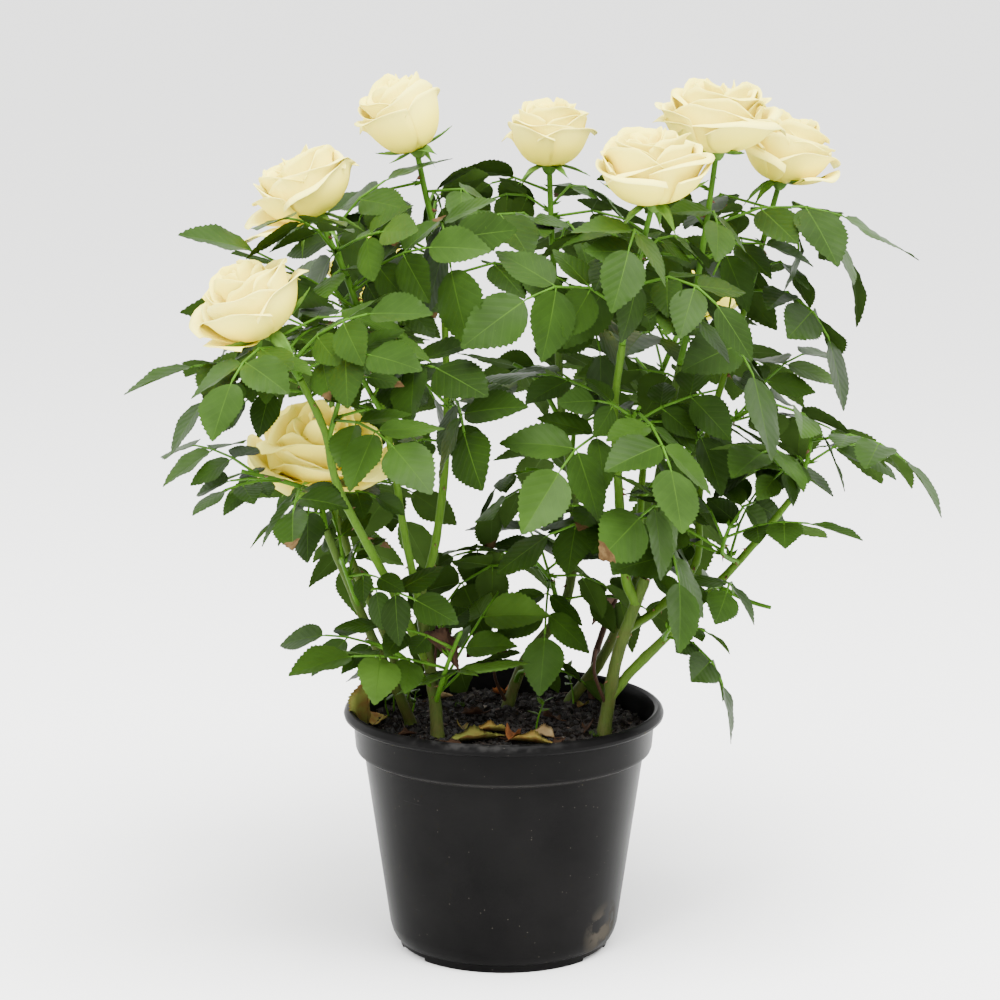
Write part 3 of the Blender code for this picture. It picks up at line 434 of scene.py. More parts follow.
POT_SECTION = (             # radius and height, from the pad out and over the lip
    (PAD_RADIUS, 0.0),
    (PAD_RADIUS + CHANNEL_DEPTH, CHANNEL_DEPTH),
    (FOOT_RADIUS - FOOT_RING - CORNER, CHANNEL_DEPTH),
    (FOOT_RADIUS - FOOT_RING, 0.0),
    (FOOT_RADIUS, 0.0),
    (FOOT_RADIUS + CORNER, FOOT_HEIGHT - 2 * CORNER),
    (BASE_RADIUS - 0.0058, FOOT_HEIGHT),
    (BASE_RADIUS - 0.0034, FOOT_HEIGHT + 0.0016),
    (BASE_RADIUS - 0.0015, FOOT_HEIGHT + 0.0052),
    (BASE_RADIUS, BASE_ROUND),
    (STEP_RADIUS, COLLAR_Z - 2 * CORNER),
    (STEP_RADIUS + 0.0026, COLLAR_Z - 0.0004),
    (COLLAR_FOOT_RADIUS - 0.0008, COLLAR_Z + 0.0008),
    (COLLAR_FOOT_RADIUS, COLLAR_Z + STEP_RISE),
    (COLLAR_TOP_RADIUS, LIP_Z),
    (RIM_RADIUS - 0.0018, LIP_Z + CORNER),
    (RIM_RADIUS - 0.0004, LIP_Z + 0.0018),
    (RIM_RADIUS, LIP_Z + LIP_BULGE),
    (RIM_RADIUS - 0.0006, LIP_Z + 0.0056),
    (RIM_RADIUS - 0.0020, POT_HEIGHT - 0.0006),
    (RIM_RADIUS - 0.0038, POT_HEIGHT),
    (RIM_RADIUS - LIP_ROLL, POT_HEIGHT - 0.0012),
    (COLLAR_TOP_RADIUS - WALL, LIP_Z + 2 * CORNER),
    (COLLAR_FOOT_RADIUS - WALL, COLLAR_Z + STEP_RISE + 2 * CORNER),
    (STEP_RADIUS - WALL, COLLAR_Z),
    (BASE_RADIUS - WALL, BASE_ROUND + 2 * CORNER),
    (BASE_RADIUS - FLOOR_ROUND, FLOOR_Z),
)

# %% Draw and spin a section
def spin_section(name, section, steps):
    """A closed round solid: the section is extruded point by point, then spun."""
    deselect()
    bpy.ops.mesh.primitive_circle_add(vertices=3, radius=0.001)
    made = bpy.context.object
    made.name = name
    bpy.ops.object.mode_set(mode="EDIT")
    bpy.ops.mesh.select_all(action="SELECT")
    bpy.ops.mesh.merge(type="CENTER")
    line = [(0.0, section[0][1])] + list(section) + [(0.0, section[-1][1])]
    bpy.ops.transform.translate(value=(line[0][0], 0.0, line[0][1]))
    for (r0, z0), (r1, z1) in zip(line, line[1:]):
        bpy.ops.mesh.extrude_region_move(
            TRANSFORM_OT_translate={"value": (r1 - r0, 0.0, z1 - z0)})
    bpy.ops.mesh.select_all(action="SELECT")
    bpy.ops.mesh.spin(steps=steps, angle=2 * math.pi, center=(0.0, 0.0, 0.0),
                      axis=(0.0, 0.0, 1.0))
    bpy.ops.mesh.select_all(action="SELECT")
    bpy.ops.mesh.remove_doubles(threshold=MERGE_WITHIN)
    bpy.ops.mesh.normals_make_consistent(inside=False)
    bpy.ops.object.mode_set(mode="OBJECT")
    return made


def cut_with(item, tool):
    """Take the tool's shape out of a piece, and remove the tool."""
    modify(item, "BOOLEAN", operation="DIFFERENCE", solver="EXACT", object=tool)
    bpy.data.objects.remove(tool)


pot = spin_section("rose_pot", POT_SECTION, SPIN_STEPS)
for degrees in SLOT_ANGLES:
    turn = math.radians(degrees)
    bpy.ops.mesh.primitive_cube_add(size=1.0, rotation=(0.0, 0.0, turn), scale=SLOT_SIZE,
                                    location=around(FOOT_RADIUS, turn))
    cut_with(pot, bpy.context.object)
for i in range(DRAIN_HOLES):
    turn = math.radians(DRAIN_TURN + 360.0 * i / DRAIN_HOLES)
    bpy.ops.mesh.primitive_cylinder_add(
        vertices=DRAIN_SIDES, radius=DRAIN_RADIUS, depth=DRAIN_DEPTH,
        location=around((PAD_RADIUS + FOOT_RADIUS) / 2, turn, FLOOR_Z / 2))
    cut_with(pot, bpy.context.object)
modify(pot, "BEVEL", width=ROUNDING, segments=2, limit_method="ANGLE",
       angle_limit=math.radians(ROUNDED_FROM))
bpy.ops.object.shade_smooth_by_angle(angle=math.radians(SMOOTH_UP_TO))
print("pot", [round(x, 4) for x in pot.dimensions])

# %% [markdown]
# ## Black plastic
# The plastic is nearly black and half glossy.  Handling leaves fine scratches and
# dust, the lip is rubbed grey where pots are stacked, and dried mud clings low on
# the right.  A pale band under the collar's step is a painted highlight.  Each mark
# is a mask that lightens the colour; dust, wear and mud also dull the gloss.

# %% Pot material
LIP_WEAR_PLACE = (-0.012, -0.098, 0.150)      # rubbed part of the lip
LIP_WEAR_REACH = 0.060
MUD_PLACE = (0.0645, -0.040, 0.018)           # dried mud by the foot
MUD_REACH = 0.021
BLACK = (0.003, 0.0029, 0.0029)
BLACKS = (0.0026, 0.0025, 0.0025), (0.0046, 0.0044, 0.0043)     # between which it drifts
SCUFF = (0.030, 0.029, 0.028)
DUST = (0.060, 0.055, 0.046)
MUD = (0.048, 0.042, 0.033)
# painted highlight: the pale line where the collar's step catches the light
PAINTED_LEDGE_HIGHLIGHT = (0.022, 0.021, 0.020)
GLOSS = (0.30, 0.37)        # roughness, from one patch to the next
DULL = 0.8                  # roughness of dust, wear and mud


def near_place(tree, place, centre, reach):
    """A mask that falls from 1 at a place to 0 at its reach."""
    gap = add_node(tree, "ShaderNodeVectorMath", {0: place, 1: centre}, operation="DISTANCE")
    return map_range(tree, gap.outputs["Value"], reach * 0.4, reach, 1.0, 0.0)


def make_pot_plastic():
    """Black moulded plastic with scratches, dust, a rubbed lip, dried mud and a painted highlight under the
    collar's step.
    """
    made, tree, shader, place = start_material("black_plastic", BLACK, GLOSS[0], 0.026)

    def both(first, second):
        return calculate(tree, "MULTIPLY", first, second)

    drift = use_group(tree, DRIFT, Vector=place, Colour=BLACKS[0], Second_colour=BLACKS[1], Scale=18.0)
    height = split_place(tree, place)["Z"]
    lines = stretched_noise(tree, place, (60.0, 60.0, 900.0), (0.2, 0.5, 0.3))
    scratches = both(map_range(tree, lines, 0.73, 0.76), patches(tree, place, 30.0, 0.52, 0.7))
    dust = use_group(tree, SPECKS, Vector=place, Scale=420.0, Size=0.16, Share=0.05)["Mask"]
    lip = both(near_place(tree, place, LIP_WEAR_PLACE, LIP_WEAR_REACH),
               map_range(tree, height, LIP_Z + 0.003, LIP_Z + 0.006))
    lip = both(lip, patches(tree, place, 160.0, 0.42, 0.62))
    mud = both(near_place(tree, place, MUD_PLACE, MUD_REACH), patches(tree, place, 64.0, 0.44, 0.50))
    # painted highlight: a pale band just under the collar's step, all the way round
    painted_ledge_highlight = both(map_range(tree, height, COLLAR_Z - 0.0022, COLLAR_Z - 0.0008),
                 map_range(tree, height, COLLAR_Z + 0.0006, COLLAR_Z + 0.0016, 1.0, 0.0))
    colour = drift["Colour"]
    for mask, share, mark in ((scratches, 0.35, SCUFF), (dust, 0.5, DUST), (lip, 0.5, SCUFF),
                              (mud, 0.9, MUD), (painted_ledge_highlight, 0.6, PAINTED_LEDGE_HIGHLIGHT)):
        colour = mix_colours(tree, both(mask, share), colour, mark)
    tree.links.new(colour, shader.inputs["Base Color"])
    dull = calculate(tree, "MAXIMUM", calculate(tree, "MAXIMUM", lip, mud), dust)
    gloss = map_range(tree, drift["Mask"], 0.0, 1.0, *GLOSS)
    tree.links.new(mix_values(tree, dull, gloss, DULL), shader.inputs["Roughness"])
    relief = use_group(tree, RELIEF, Vector=place, Coarse=60.0, Fine=1400.0, Fine_share=0.3)["Height"]
    bump(tree, shader, relief, 0.00008, 0.5)
    return made


coat(pot, make_pot_plastic())
finish(pot, "black_plastic", "pot")

# %% [markdown]
# ## The peat
# Potting peat is dark, moist and crumbly.  One solid fills the pot; its top is raised
# in many rings and displaced by three cloud textures, then thousands of crumbs, bark
# chips and thin fibres are scattered on it as one joined mesh made from arrays.

# %% Peat body
SOIL_Z = 0.1400
SOIL_SINK = 0.0030
SOIL_SLACK = 0.0008
SOIL_CROWN_RADIUS = 0.0860
PEAT_RINGS = 56
PEAT_STEPS = 200
PEAT_LUMPS = ((0.020, 0.0060), (0.0065, 0.0048), (0.0024, 0.0022))      # size and height
PEAT_REACH = 0.0905         # of loose crumbs, from the axis
PEAT_SECTION = (
    (BASE_RADIUS - FLOOR_ROUND - SOIL_SLACK, FLOOR_Z + 0.0003),
    (BASE_RADIUS - WALL - SOIL_SLACK, BASE_ROUND + 4 * CORNER),
    (STEP_RADIUS - WALL - SOIL_SLACK, COLLAR_Z),
    (COLLAR_FOOT_RADIUS - WALL - SOIL_SLACK, COLLAR_Z + STEP_RISE + 4 * CORNER),
    (COLLAR_TOP_RADIUS - WALL - 2 * SOIL_SLACK, SOIL_Z - SOIL_SINK),
) + tuple((SOIL_CROWN_RADIUS * (1 - k / PEAT_RINGS) + 0.0006, SOIL_Z) for k in range(PEAT_RINGS))

peat = spin_section("peat_body", PEAT_SECTION, PEAT_STEPS)
top = peat.vertex_groups.new(name="top")
top.add([v.index for v in peat.data.vertices if v.co.z > SOIL_Z - SOIL_SINK - 0.001], 1.0, "REPLACE")
for lump_size, strength in PEAT_LUMPS:
    modify(peat, "DISPLACE", texture=clouds(f"lumps_{lump_size}", lump_size), texture_coords="LOCAL",
           direction="Z", strength=strength, vertex_group="top")
peat.data.shade_smooth()
coat(peat, drifting("peat", (0.0036, 0.0025, 0.0018), (0.0095, 0.0063, 0.0042), 220.0, 0.92, 0.08, 0.0012))
finish(peat, "peat", "soil")

# %% Crumbs, bark chips and fibres
CRUMB_SEED = 4
CRUMBS = 3600
CHIPS = 260
FIBRES = 240
CRUMB_SIZE = (0.0005, 0.0027)       # the least, and what is added to it
CHIP_SIZE = (0.0014, 0.0042)
FIBRE_SIZE = (0.003, 0.009)
FIBRE_HALF_WIDTH = 0.00022
FLECK_SHARE = 0.025         # of crumbs, pale and half as large
ROUGHNESS = 0.2             # of their corners
LIE = 0.0003                # height of their middles over the peat
CRUMB_VERTS = np.array([(1, 0, 0), (-1, 0, 0), (0, 1, 0), (0, -1, 0), (0, 0, 1), (0, 0, -1)], float)
CRUMB_FACES = [(0, 2, 4), (2, 1, 4), (1, 3, 4), (3, 0, 4), (2, 0, 5), (1, 2, 5), (3, 1, 5), (0, 3, 5)]


def scatter_on_peat(chance, count, edge):
    """Places on the peat, thicker towards the wall."""
    spots = []
    for _ in range(count):
        radius = edge * chance.random() ** 0.46
        spots.append(around(radius, chance.uniform(0.0, 2 * math.pi), SOIL_Z))
    return spots


def turned_frame(chance):
    """A random orientation as a matrix."""
    axis = Vector([chance.gauss(0, 1) for _ in range(3)]).normalized()
    return Matrix.Rotation(chance.uniform(0, math.pi), 3, axis)


def make_crumbs():
    """Crumbs, chips and fibres in one mesh, each in one of four colours."""
    chance = random.Random(CRUMB_SEED)
    heap = Heap()
    surface = BVHTree.FromObject(peat, bpy.context.evaluated_depsgraph_get())
    spots = scatter_on_peat(chance, CRUMBS + CHIPS + FIBRES, PEAT_REACH)
    for i, spot in enumerate(spots):
        hit = surface.ray_cast(spot + UP * 0.03, -UP)[0]
        level = hit.z if hit else SOIL_Z
        if i < CRUMBS:
            size = CRUMB_SIZE[0] + CRUMB_SIZE[1] * chance.random() ** 3
            shape = Vector((size, size * chance.uniform(0.6, 1.0), size * chance.uniform(0.5, 0.9)))
            pick = chance.choice((0, 0, 0, 1, 1))
            if chance.random() < FLECK_SHARE:
                pick = 3
                shape *= 0.5
        elif i < CRUMBS + CHIPS:
            size = chance.uniform(*CHIP_SIZE)
            shape = Vector((size, size * 0.45, size * 0.16))
            pick = chance.choice((0, 1, 2))
        else:
            size = chance.uniform(*FIBRE_SIZE)
            shape = Vector((size, FIBRE_HALF_WIDTH, FIBRE_HALF_WIDTH))
            pick = chance.choice((1, 2, 2))
        turn = turned_frame(chance) if i < CRUMBS else Matrix.Rotation(
            chance.uniform(0, math.pi), 3, "Z") @ Matrix.Rotation(chance.gauss(0, 0.22), 3, "Y")
        verts = []
        for corner in CRUMB_VERTS:
            rough = 1 + chance.uniform(-ROUGHNESS, ROUGHNESS)
            point = turn @ Vector([corner[k] * shape[k] * rough for k in range(3)])
            verts.append((spot.x + point.x, spot.y + point.y, level + LIE + point.z))
        heap.add(verts, CRUMB_FACES, pick)
    finishes = [
        plain_material("crumb_dark", (0.0040, 0.0028, 0.0020), 0.9),
        plain_material("crumb_brown", (0.0110, 0.0070, 0.0044), 0.85),
        plain_material("bark_chip", (0.034, 0.018, 0.010), 0.8),
        plain_material("pale_fleck", (0.110, 0.095, 0.068), 0.8),
    ]
    made = heap.build("peat_crumbs", finishes)
    made.data.shade_flat()
    return made


finish(make_crumbs(), "peat")

# %% [markdown]
# ## How the plant grows
# The solids were grown by a seeded rule: canes and boughs follow smooth routes, and
# each shoot sets compound leaves 137.5 degrees apart.  A leaf that would touch
# anything is turned and tried again.  The same rule is written again here, so that
# every fine leaf below lies where its solid lies.

# %% Limbs: parent, share along it, route, radius at foot and tip
GAP = 0.0003                # clearance between pieces that touch
LIMBS = {
    "cane_left_front": (None, 0.0, ((-0.058, 0.004, SOIL_Z), (-0.068, -0.010, 0.169),
        (-0.083, -0.025, 0.207), (-0.108, -0.050, 0.276)), 0.0036, 0.0024),
    "cane_left_back": (None, 0.0, ((-0.060, 0.040, SOIL_Z), (-0.075, 0.032, 0.190),
        (-0.097, 0.055, 0.234), (-0.112, 0.080, 0.282), (-0.112, 0.120, 0.327)), 0.0031, 0.0021),
    "cane_front": (None, 0.0, ((-0.041, -0.029, SOIL_Z), (-0.043, -0.025, 0.166),
        (-0.050, -0.028, 0.215), (-0.051, -0.030, 0.243)), 0.0041, 0.0034),
    "cane_centre_back": (None, 0.0, ((0.002, 0.046, SOIL_Z), (0.014, 0.055, 0.169),
        (0.040, 0.060, 0.207), (0.045, 0.055, 0.271), (0.037, 0.050, 0.326), (0.033, 0.045, 0.397)),
        0.0038, 0.0021),
    "cane_right_front": (None, 0.0, ((0.062, -0.020, SOIL_Z), (0.065, -0.015, 0.158),
        (0.071, -0.018, 0.192), (0.087, -0.020, 0.239)), 0.0043, 0.0035),
    "cane_right_back": (None, 0.0, ((0.042, 0.058, SOIL_Z), (0.067, 0.052, 0.178), (0.092, 0.036, 0.250),
        (0.098, 0.027, 0.300), (0.108, 0.000, 0.369)), 0.0038, 0.0022),
    "dead_cane": (None, 0.0, ((0.056, 0.065, SOIL_Z), (0.060, 0.072, 0.170), (0.074, 0.078, 0.209)),
        0.0026, 0.0018),
    "bough_left_front": ("cane_front", 0.42, ((-0.058, -0.034, 0.212), (-0.070, -0.050, 0.243),
        (-0.097, -0.090, 0.307), (-0.105, -0.101, 0.345), (-0.118, -0.115, 0.378)), 0.0030, 0.0021),
    "bough_left_high": ("cane_front", 0.70, ((-0.060, -0.042, 0.270), (-0.068, -0.046, 0.323),
        (-0.083, -0.050, 0.398)), 0.0026, 0.0019),
    "bough_left_inner": ("cane_front", 0.90, ((-0.042, -0.024, 0.262), (-0.035, -0.020, 0.326),
        (-0.036, -0.020, 0.409)), 0.0028, 0.0020),
    "bough_centre_right": ("cane_right_front", 0.84, ((0.074, -0.026, 0.246), (0.068, -0.045, 0.320),
        (0.066, -0.054, 0.350), (0.070, -0.070, 0.392)), 0.0034, 0.0022),
    "bough_right_outer": ("cane_right_front", 0.22, ((0.080, -0.012, 0.179), (0.106, -0.010, 0.205),
        (0.149, 0.000, 0.249), (0.177, 0.000, 0.284)), 0.0034, 0.0021),
    "bough_right_inner": ("cane_right_front", 0.66, ((0.099, 0.000, 0.218), (0.120, 0.012, 0.243),
        (0.122, 0.020, 0.280), (0.128, 0.031, 0.322), (0.150, 0.035, 0.398)), 0.0028, 0.0020),
    "bough_right_back": ("cane_right_back", 0.26, ((0.085, 0.070, 0.226), (0.090, 0.100, 0.279),
        (0.096, 0.130, 0.326)), 0.0028, 0.0020),
}
CANE_SIDES = 6
CANE_STEPS = 2              # rings for each stretch between two bends
FOOT_FLARE = 1.15           # widening where a cane leaves the peat

# %% Shoots: parent, share, route, leaves, first heading, droop, leaflet
SHOOTS = {
    "shoot_top_left": ("bough_left_inner", 1.0, ((-0.039, -0.020, 0.440), (-0.047, -0.020, 0.475),
        (-0.053, -0.020, 0.505)), 5, 20.0, 75.0, 0.046),
    "shoot_left_high": ("bough_left_high", 1.0, ((-0.094, -0.050, 0.430), (-0.104, -0.050, 0.452),
        (-0.112, -0.050, 0.468)), 5, 190.0, 25.0, 0.046),
    "shoot_left_front": ("bough_left_front", 1.0, ((-0.127, -0.116, 0.392), (-0.137, -0.115, 0.408)), 5,
        200.0, 40.0, 0.042),
    "shoot_left_low": ("cane_left_front", 1.0, ((-0.111, -0.040, 0.292), (-0.113, -0.012, 0.306)), 4,
        130.0, 60.0, 0.042),
    "shoot_centre": ("cane_centre_back", 1.0, ((0.030, 0.042, 0.440), (0.028, 0.040, 0.490)), 5, 300.0,
        70.0, 0.048),
    "shoot_centre_right": ("bough_centre_right", 1.0, ((0.074, -0.078, 0.420), (0.087, -0.088, 0.480)),
        4, 200.0, 80.0, 0.044),
    "shoot_right_high": ("cane_right_back", 1.0, ((0.115, -0.008, 0.405), (0.122, -0.015, 0.455),
        (0.128, -0.020, 0.504)), 5, 300.0, 60.0, 0.050),
    "shoot_right_top": ("bough_right_inner", 1.0, ((0.158, 0.035, 0.430), (0.171, 0.032, 0.481)), 5,
        330.0, 90.0, 0.046),
    "shoot_back_left": ("cane_left_back", 1.0, ((-0.103, 0.120, 0.365), (-0.086, 0.110, 0.395)), 4, 60.0,
        50.0, 0.046),
    "shoot_back_right": ("bough_right_back", 1.0, ((0.112, 0.150, 0.360), (0.122, 0.162, 0.380)), 5,
        100.0, 55.0, 0.046),
    "spray_left_tip": ("bough_left_front", 0.92, ((-0.124, -0.088, 0.384), (-0.136, -0.070, 0.402)), 3,
        195.0, 50.0, 0.040),
    "spray_left_crown": ("bough_left_high", 0.90, ((-0.096, -0.036, 0.412), (-0.108, -0.030, 0.426)), 2,
        180.0, 40.0, 0.038),
    "spray_right_fill": ("bough_right_outer", 0.70, ((0.134, -0.022, 0.256), (0.138, -0.036, 0.276)), 3,
        60.0, 45.0, 0.042),
    "spray_right_under": ("bough_right_outer", 0.58, ((0.152, -0.018, 0.224), (0.164, -0.026, 0.222)), 2,
        280.0, 40.0, 0.034),
    "spray_left_far": ("bough_left_front", 0.62, ((-0.126, -0.100, 0.314), (-0.154, -0.104, 0.322)), 4,
        100.0, 15.0, 0.040),
    "spray_left_fork": ("bough_left_front", 0.80, ((-0.096, -0.105, 0.365), (-0.092, -0.110, 0.385)), 2,
        300.0, 50.0, 0.040),
    "spray_left_upper": ("bough_left_high", 0.72, ((-0.086, -0.060, 0.374), (-0.080, -0.074, 0.384)), 2,
        300.0, 40.0, 0.044),
    "spray_inner_left": ("bough_left_inner", 0.45, ((-0.032, -0.036, 0.348), (-0.030, -0.054, 0.360)), 4,
        220.0, 60.0, 0.042),
    "spray_low_left": ("cane_left_front", 0.60, ((-0.096, -0.050, 0.250), (-0.098, -0.066, 0.262)), 2,
        320.0, 40.0, 0.036),
    "spray_low_front": ("cane_front", 0.30, ((-0.064, -0.048, 0.198), (-0.084, -0.056, 0.208)), 1, 165.0,
        40.0, 0.036),
    "spray_front_low": ("cane_front", 0.20, ((-0.034, -0.044, 0.192), (-0.026, -0.056, 0.214)), 3, 60.0,
        20.0, 0.046),
    "spray_centre_low": ("cane_centre_back", 0.26, ((0.030, 0.040, 0.224), (0.018, 0.015, 0.244)), 5,
        340.0, 60.0, 0.044),
    "spray_soil": ("cane_centre_back", 0.06, ((0.010, 0.040, 0.164), (0.014, 0.030, 0.168)), 1, 330.0,
        50.0, 0.030),
    "spray_centre": ("cane_centre_back", 0.50, ((0.030, 0.050, 0.290), (0.014, 0.042, 0.296)), 1, 200.0,
        65.0, 0.036),
    "spray_centre_upper": ("cane_centre_back", 0.72, ((0.022, 0.052, 0.350), (0.006, 0.050, 0.362)), 3,
        320.0, 30.0, 0.044),
    "spray_right_centre": ("bough_centre_right", 0.62, ((0.076, -0.066, 0.346), (0.080, -0.080, 0.356)),
        4, 240.0, 40.0, 0.044),
    "spray_right_mid": ("bough_right_inner", 0.66, ((0.145, 0.010, 0.335), (0.160, -0.006, 0.348)), 5,
        350.0, 60.0, 0.046),
    "spray_right_outer": ("bough_right_outer", 1.0, ((0.186, -0.004, 0.306), (0.190, -0.006, 0.330)), 5,
        120.0, 60.0, 0.040),
    "spray_right_low": ("bough_centre_right", 0.25, ((0.090, -0.044, 0.272), (0.114, -0.054, 0.284)), 5,
        40.0, 50.0, 0.044),
    "spray_right_skirt": ("bough_right_outer", 0.30, ((0.100, -0.034, 0.208), (0.102, -0.046, 0.214)), 2,
        285.0, 60.0, 0.034),
    "spray_back_left_low": ("cane_left_back", 0.50, ((-0.112, 0.085, 0.262), (-0.120, 0.110, 0.280)), 3,
        100.0, 50.0, 0.042),
    "spray_back_left_high": ("cane_left_back", 0.92, ((-0.086, 0.135, 0.340), (-0.064, 0.145, 0.352)), 4,
        60.0, 50.0, 0.044),
    "spray_back_centre": ("cane_centre_back", 0.60, ((0.046, 0.090, 0.320), (0.052, 0.118, 0.336)), 5,
        90.0, 50.0, 0.044),
    "spray_back_right_low": ("bough_right_back", 0.55, ((0.112, 0.112, 0.290), (0.138, 0.122, 0.306)), 4,
        60.0, 50.0, 0.044),
}

# %% Sizes of shoots, leaves and blooms
SHOOT_RADII = (0.0021, 0.0017)      # of a shoot that ends in a bloom, foot and tip
SPRAY_RADII = (0.0018, 0.0012)      # of one without
SHOOT_SIDES = 4
SHOOT_STEPS = 2
LEAF_START = 0.10           # leaves begin at this share of the shoot
LEAF_SPAN = 0.84            # and cover this much of it
LEAF_SPAN_BLOOM = 0.76      # or this much where a bloom ends it
DIVERGENCE = 137.5          # turn from each leaf to the next, in degrees
TURN_SPREAD = 16.0
LEAF_SHIFT = 0.03           # shares of the shoot, either way
SIZE_SPREAD = (0.86, 1.12)
TRIES = 14                  # poses tried before a leaf is left out
ROLL_SPREAD = 22.0
OUTWARD_TILT = 42.0         # leaves turn their faces away from the crown's middle
SEED = 142
PETIOLE_RADIUS = 0.0010
RACHIS_TIP_RADIUS = 0.0007
BLADE_WIDTH = 0.66          # of the leaflet's length
BLADE_THICKNESS = 0.022     # of the leaflet's length, at its root
BLADE_FOLD = 0.10           # rise of the edges, of the half width
BLADE_EDGE = (              # share of its length, share of its half width
    (0.24, 0.86),
    (0.62, 0.90),
)
EDGE_SINK = 0.03            # the blade bows down towards its tip, of its length
TIP_SINK = 0.06
LEAFLET_PAIRS = (           # place on the rachis, size, of the end leaflet
    (0.42, 0.76),
    (0.74, 0.94),
)
SHORT_PAIRS = (             # a leaf of three leaflets, close under a bloom
    (0.62, 0.92),
)
RACHIS_LENGTH = 1.55        # of the end leaflet's length
SHORT_RACHIS = 0.72         # of that, on a leaf of three leaflets
STEM_TURN = 0.60            # how far a petiole turns square to a leaning stem
PAIR_ANGLE = 64.0
PAIR_DROOP = 0.32
END_DROOP = 0.14
STALK_WIDTH = 0.0022        # root of a side leaflet
LEAF_LIFT = (15.0, 50.0)    # rise of the petiole over level, in degrees
DROOP_SPREAD = 18.0         # either side of the shoot's own droop
CLEARANCE = 0.0007          # kept between leaves and everything else
ROOT_SKIP = 0.25            # of the first stretch, which is inside the stem
BLADE_SKIP = 0.002          # of a leaflet, which is inside its rachis
POT_KEEP_RADIUS = 0.115     # no leaf hangs down beside the pot
POT_KEEP_Z = 0.135
BLOOMS = {                  # facing, radius, height, how far it is open
    "shoot_top_left": ((-0.42, -0.10, 0.90), 0.0260, 0.050, 0.35),
    "shoot_left_high": ((-0.45, -0.22, 0.86), 0.0310, 0.042, 0.55),
    "shoot_left_front": ((-0.58, -0.36, 0.73), 0.0325, 0.044, 0.70),
    "shoot_left_low": ((0.00, -0.34, 0.94), 0.0405, 0.030, 1.00),
    "shoot_centre": ((0.00, -0.05, 1.00), 0.0265, 0.040, 0.40),
    "shoot_centre_right": ((-0.10, -0.25, 0.96), 0.0335, 0.044, 0.60),
    "shoot_right_high": ((0.00, -0.18, 0.98), 0.0365, 0.048, 0.80),
    "shoot_right_top": ((0.40, -0.05, 0.91), 0.0310, 0.042, 0.70),
    "shoot_back_left": ((0.10, 0.45, 0.89), 0.0280, 0.040, 0.50),
    "shoot_back_right": ((0.20, 0.60, 0.77), 0.0320, 0.042, 0.60),
}
BLOOM_SIDES = 10            # two for each of five petals
BLOOM_PROFILE = (           # radius, its change as it opens, height, its change
    (0.09, 0.00, -0.05, 0.00),
    (0.16, 0.00, 0.01, 0.00),
    (0.30, 0.00, 0.05, 0.00),
    (0.66, 0.10, 0.22, 0.00),
    (0.92, 0.05, 0.52, 0.00),
    (1.00, 0.00, 0.80, -0.12),
    (0.84, 0.00, 0.92, -0.10),
    (0.52, 0.00, 1.00, -0.05),
    (0.22, 0.00, 0.90, -0.20),
)
BLOOM_FOOT = -0.05          # heights of the points that close it
BLOOM_HEART = 0.80
LOBE_REACH = 0.06           # petals stand out between their notches
LOBE_RISE = 0.05
LOBED_FROM = 4              # rings of the profile that are lobed
RIM_LEVELS = (5, 6)         # and those whose lobes rise too
BLOOM_SEAT = 0.002          # the shoot's end sunk in the bloom
SEPAL_LEVEL = 1             # ring of the bloom that is drawn out into sepals
SEPAL_REACH = 0.80
SEPAL_SAG = -0.02
OPENINGS = (                # middle and half size of rounded places that leaves keep out of
    ((0.008, 0.000, 0.322), (0.028, 0.120, 0.034)),     # between the two halves
    ((-0.014, -0.010, 0.425), (0.014, 0.120, 0.030)),   # below the top blooms
    ((-0.113, -0.085, 0.338), (0.036, 0.065, 0.024)),   # before the low bloom
    ((0.070, -0.080, 0.205), (0.034, 0.060, 0.050)),    # before the right cane
    ((-0.180, 0.000, 0.230), (0.050, 0.200, 0.036)),    # under the left crown
    ((-0.150, 0.000, 0.130), (0.080, 0.200, 0.028)),
    ((0.226, 0.000, 0.216), (0.050, 0.200, 0.050)),     # under the right crown
    ((0.205, 0.000, 0.150), (0.060, 0.200, 0.032)),
    ((0.000, -0.120, 0.130), (0.130, 0.060, 0.032)),    # in front of the pot
)

# %% Routes and tubes
def smooth_route(points, steps):
    """Points along a rounded curve through the given bends."""
    bends = [Vector(p) for p in points]
    ends = [bends[0] * 2 - bends[1]] + bends + [bends[-1] * 2 - bends[-2]]
    route = []
    for i in range(len(bends) - 1):
        a, b, c, d = ends[i:i + 4]
        for k in range(steps):
            t = k / steps
            route.append(0.5 * ((2 * b) + (c - a) * t
                                + (2 * a - 5 * b + 4 * c - d) * t * t
                                + (3 * b - a - 3 * c + d) * t ** 3))
    route.append(bends[-1])
    return route


def lengths_along(route):
    """Distance of each point from the route's start."""
    reach = [0.0]
    for a, b in zip(route, route[1:]):
        reach.append(reach[-1] + (b - a).length)
    return reach


def place_on(route, share):
    """Point and heading at a share of the route's length."""
    reach = lengths_along(route)
    wanted = share * reach[-1]
    for i in range(len(route) - 1):
        if wanted <= reach[i + 1] or i == len(route) - 2:
            part = (wanted - reach[i]) / (reach[i + 1] - reach[i])
            heading = (route[i + 1] - route[i]).normalized()
            return route[i].lerp(route[i + 1], part), heading


def ring_frames(route):
    """Heading and side at each point, turning no more than the route does."""
    frames = []
    side = None
    for i in range(len(route)):
        before = route[max(i - 1, 0)]
        after = route[min(i + 1, len(route) - 1)]
        heading = (after - before).normalized()
        if side is None:
            side = heading.orthogonal().normalized()
        side = (side - heading * side.dot(heading)).normalized()
        frames.append((heading, side))
    return frames


def tube_points(route, radii, sides):
    """Rings of points round a route."""
    rings = []
    for (heading, side), point, radius in zip(ring_frames(route), route, radii):
        other = heading.cross(side)
        ring = []
        for k in range(sides):
            turn = 2 * math.pi * k / sides
            ring.append(point + (side * math.cos(turn) + other * math.sin(turn)) * radius)
        rings.append(ring)
    return rings


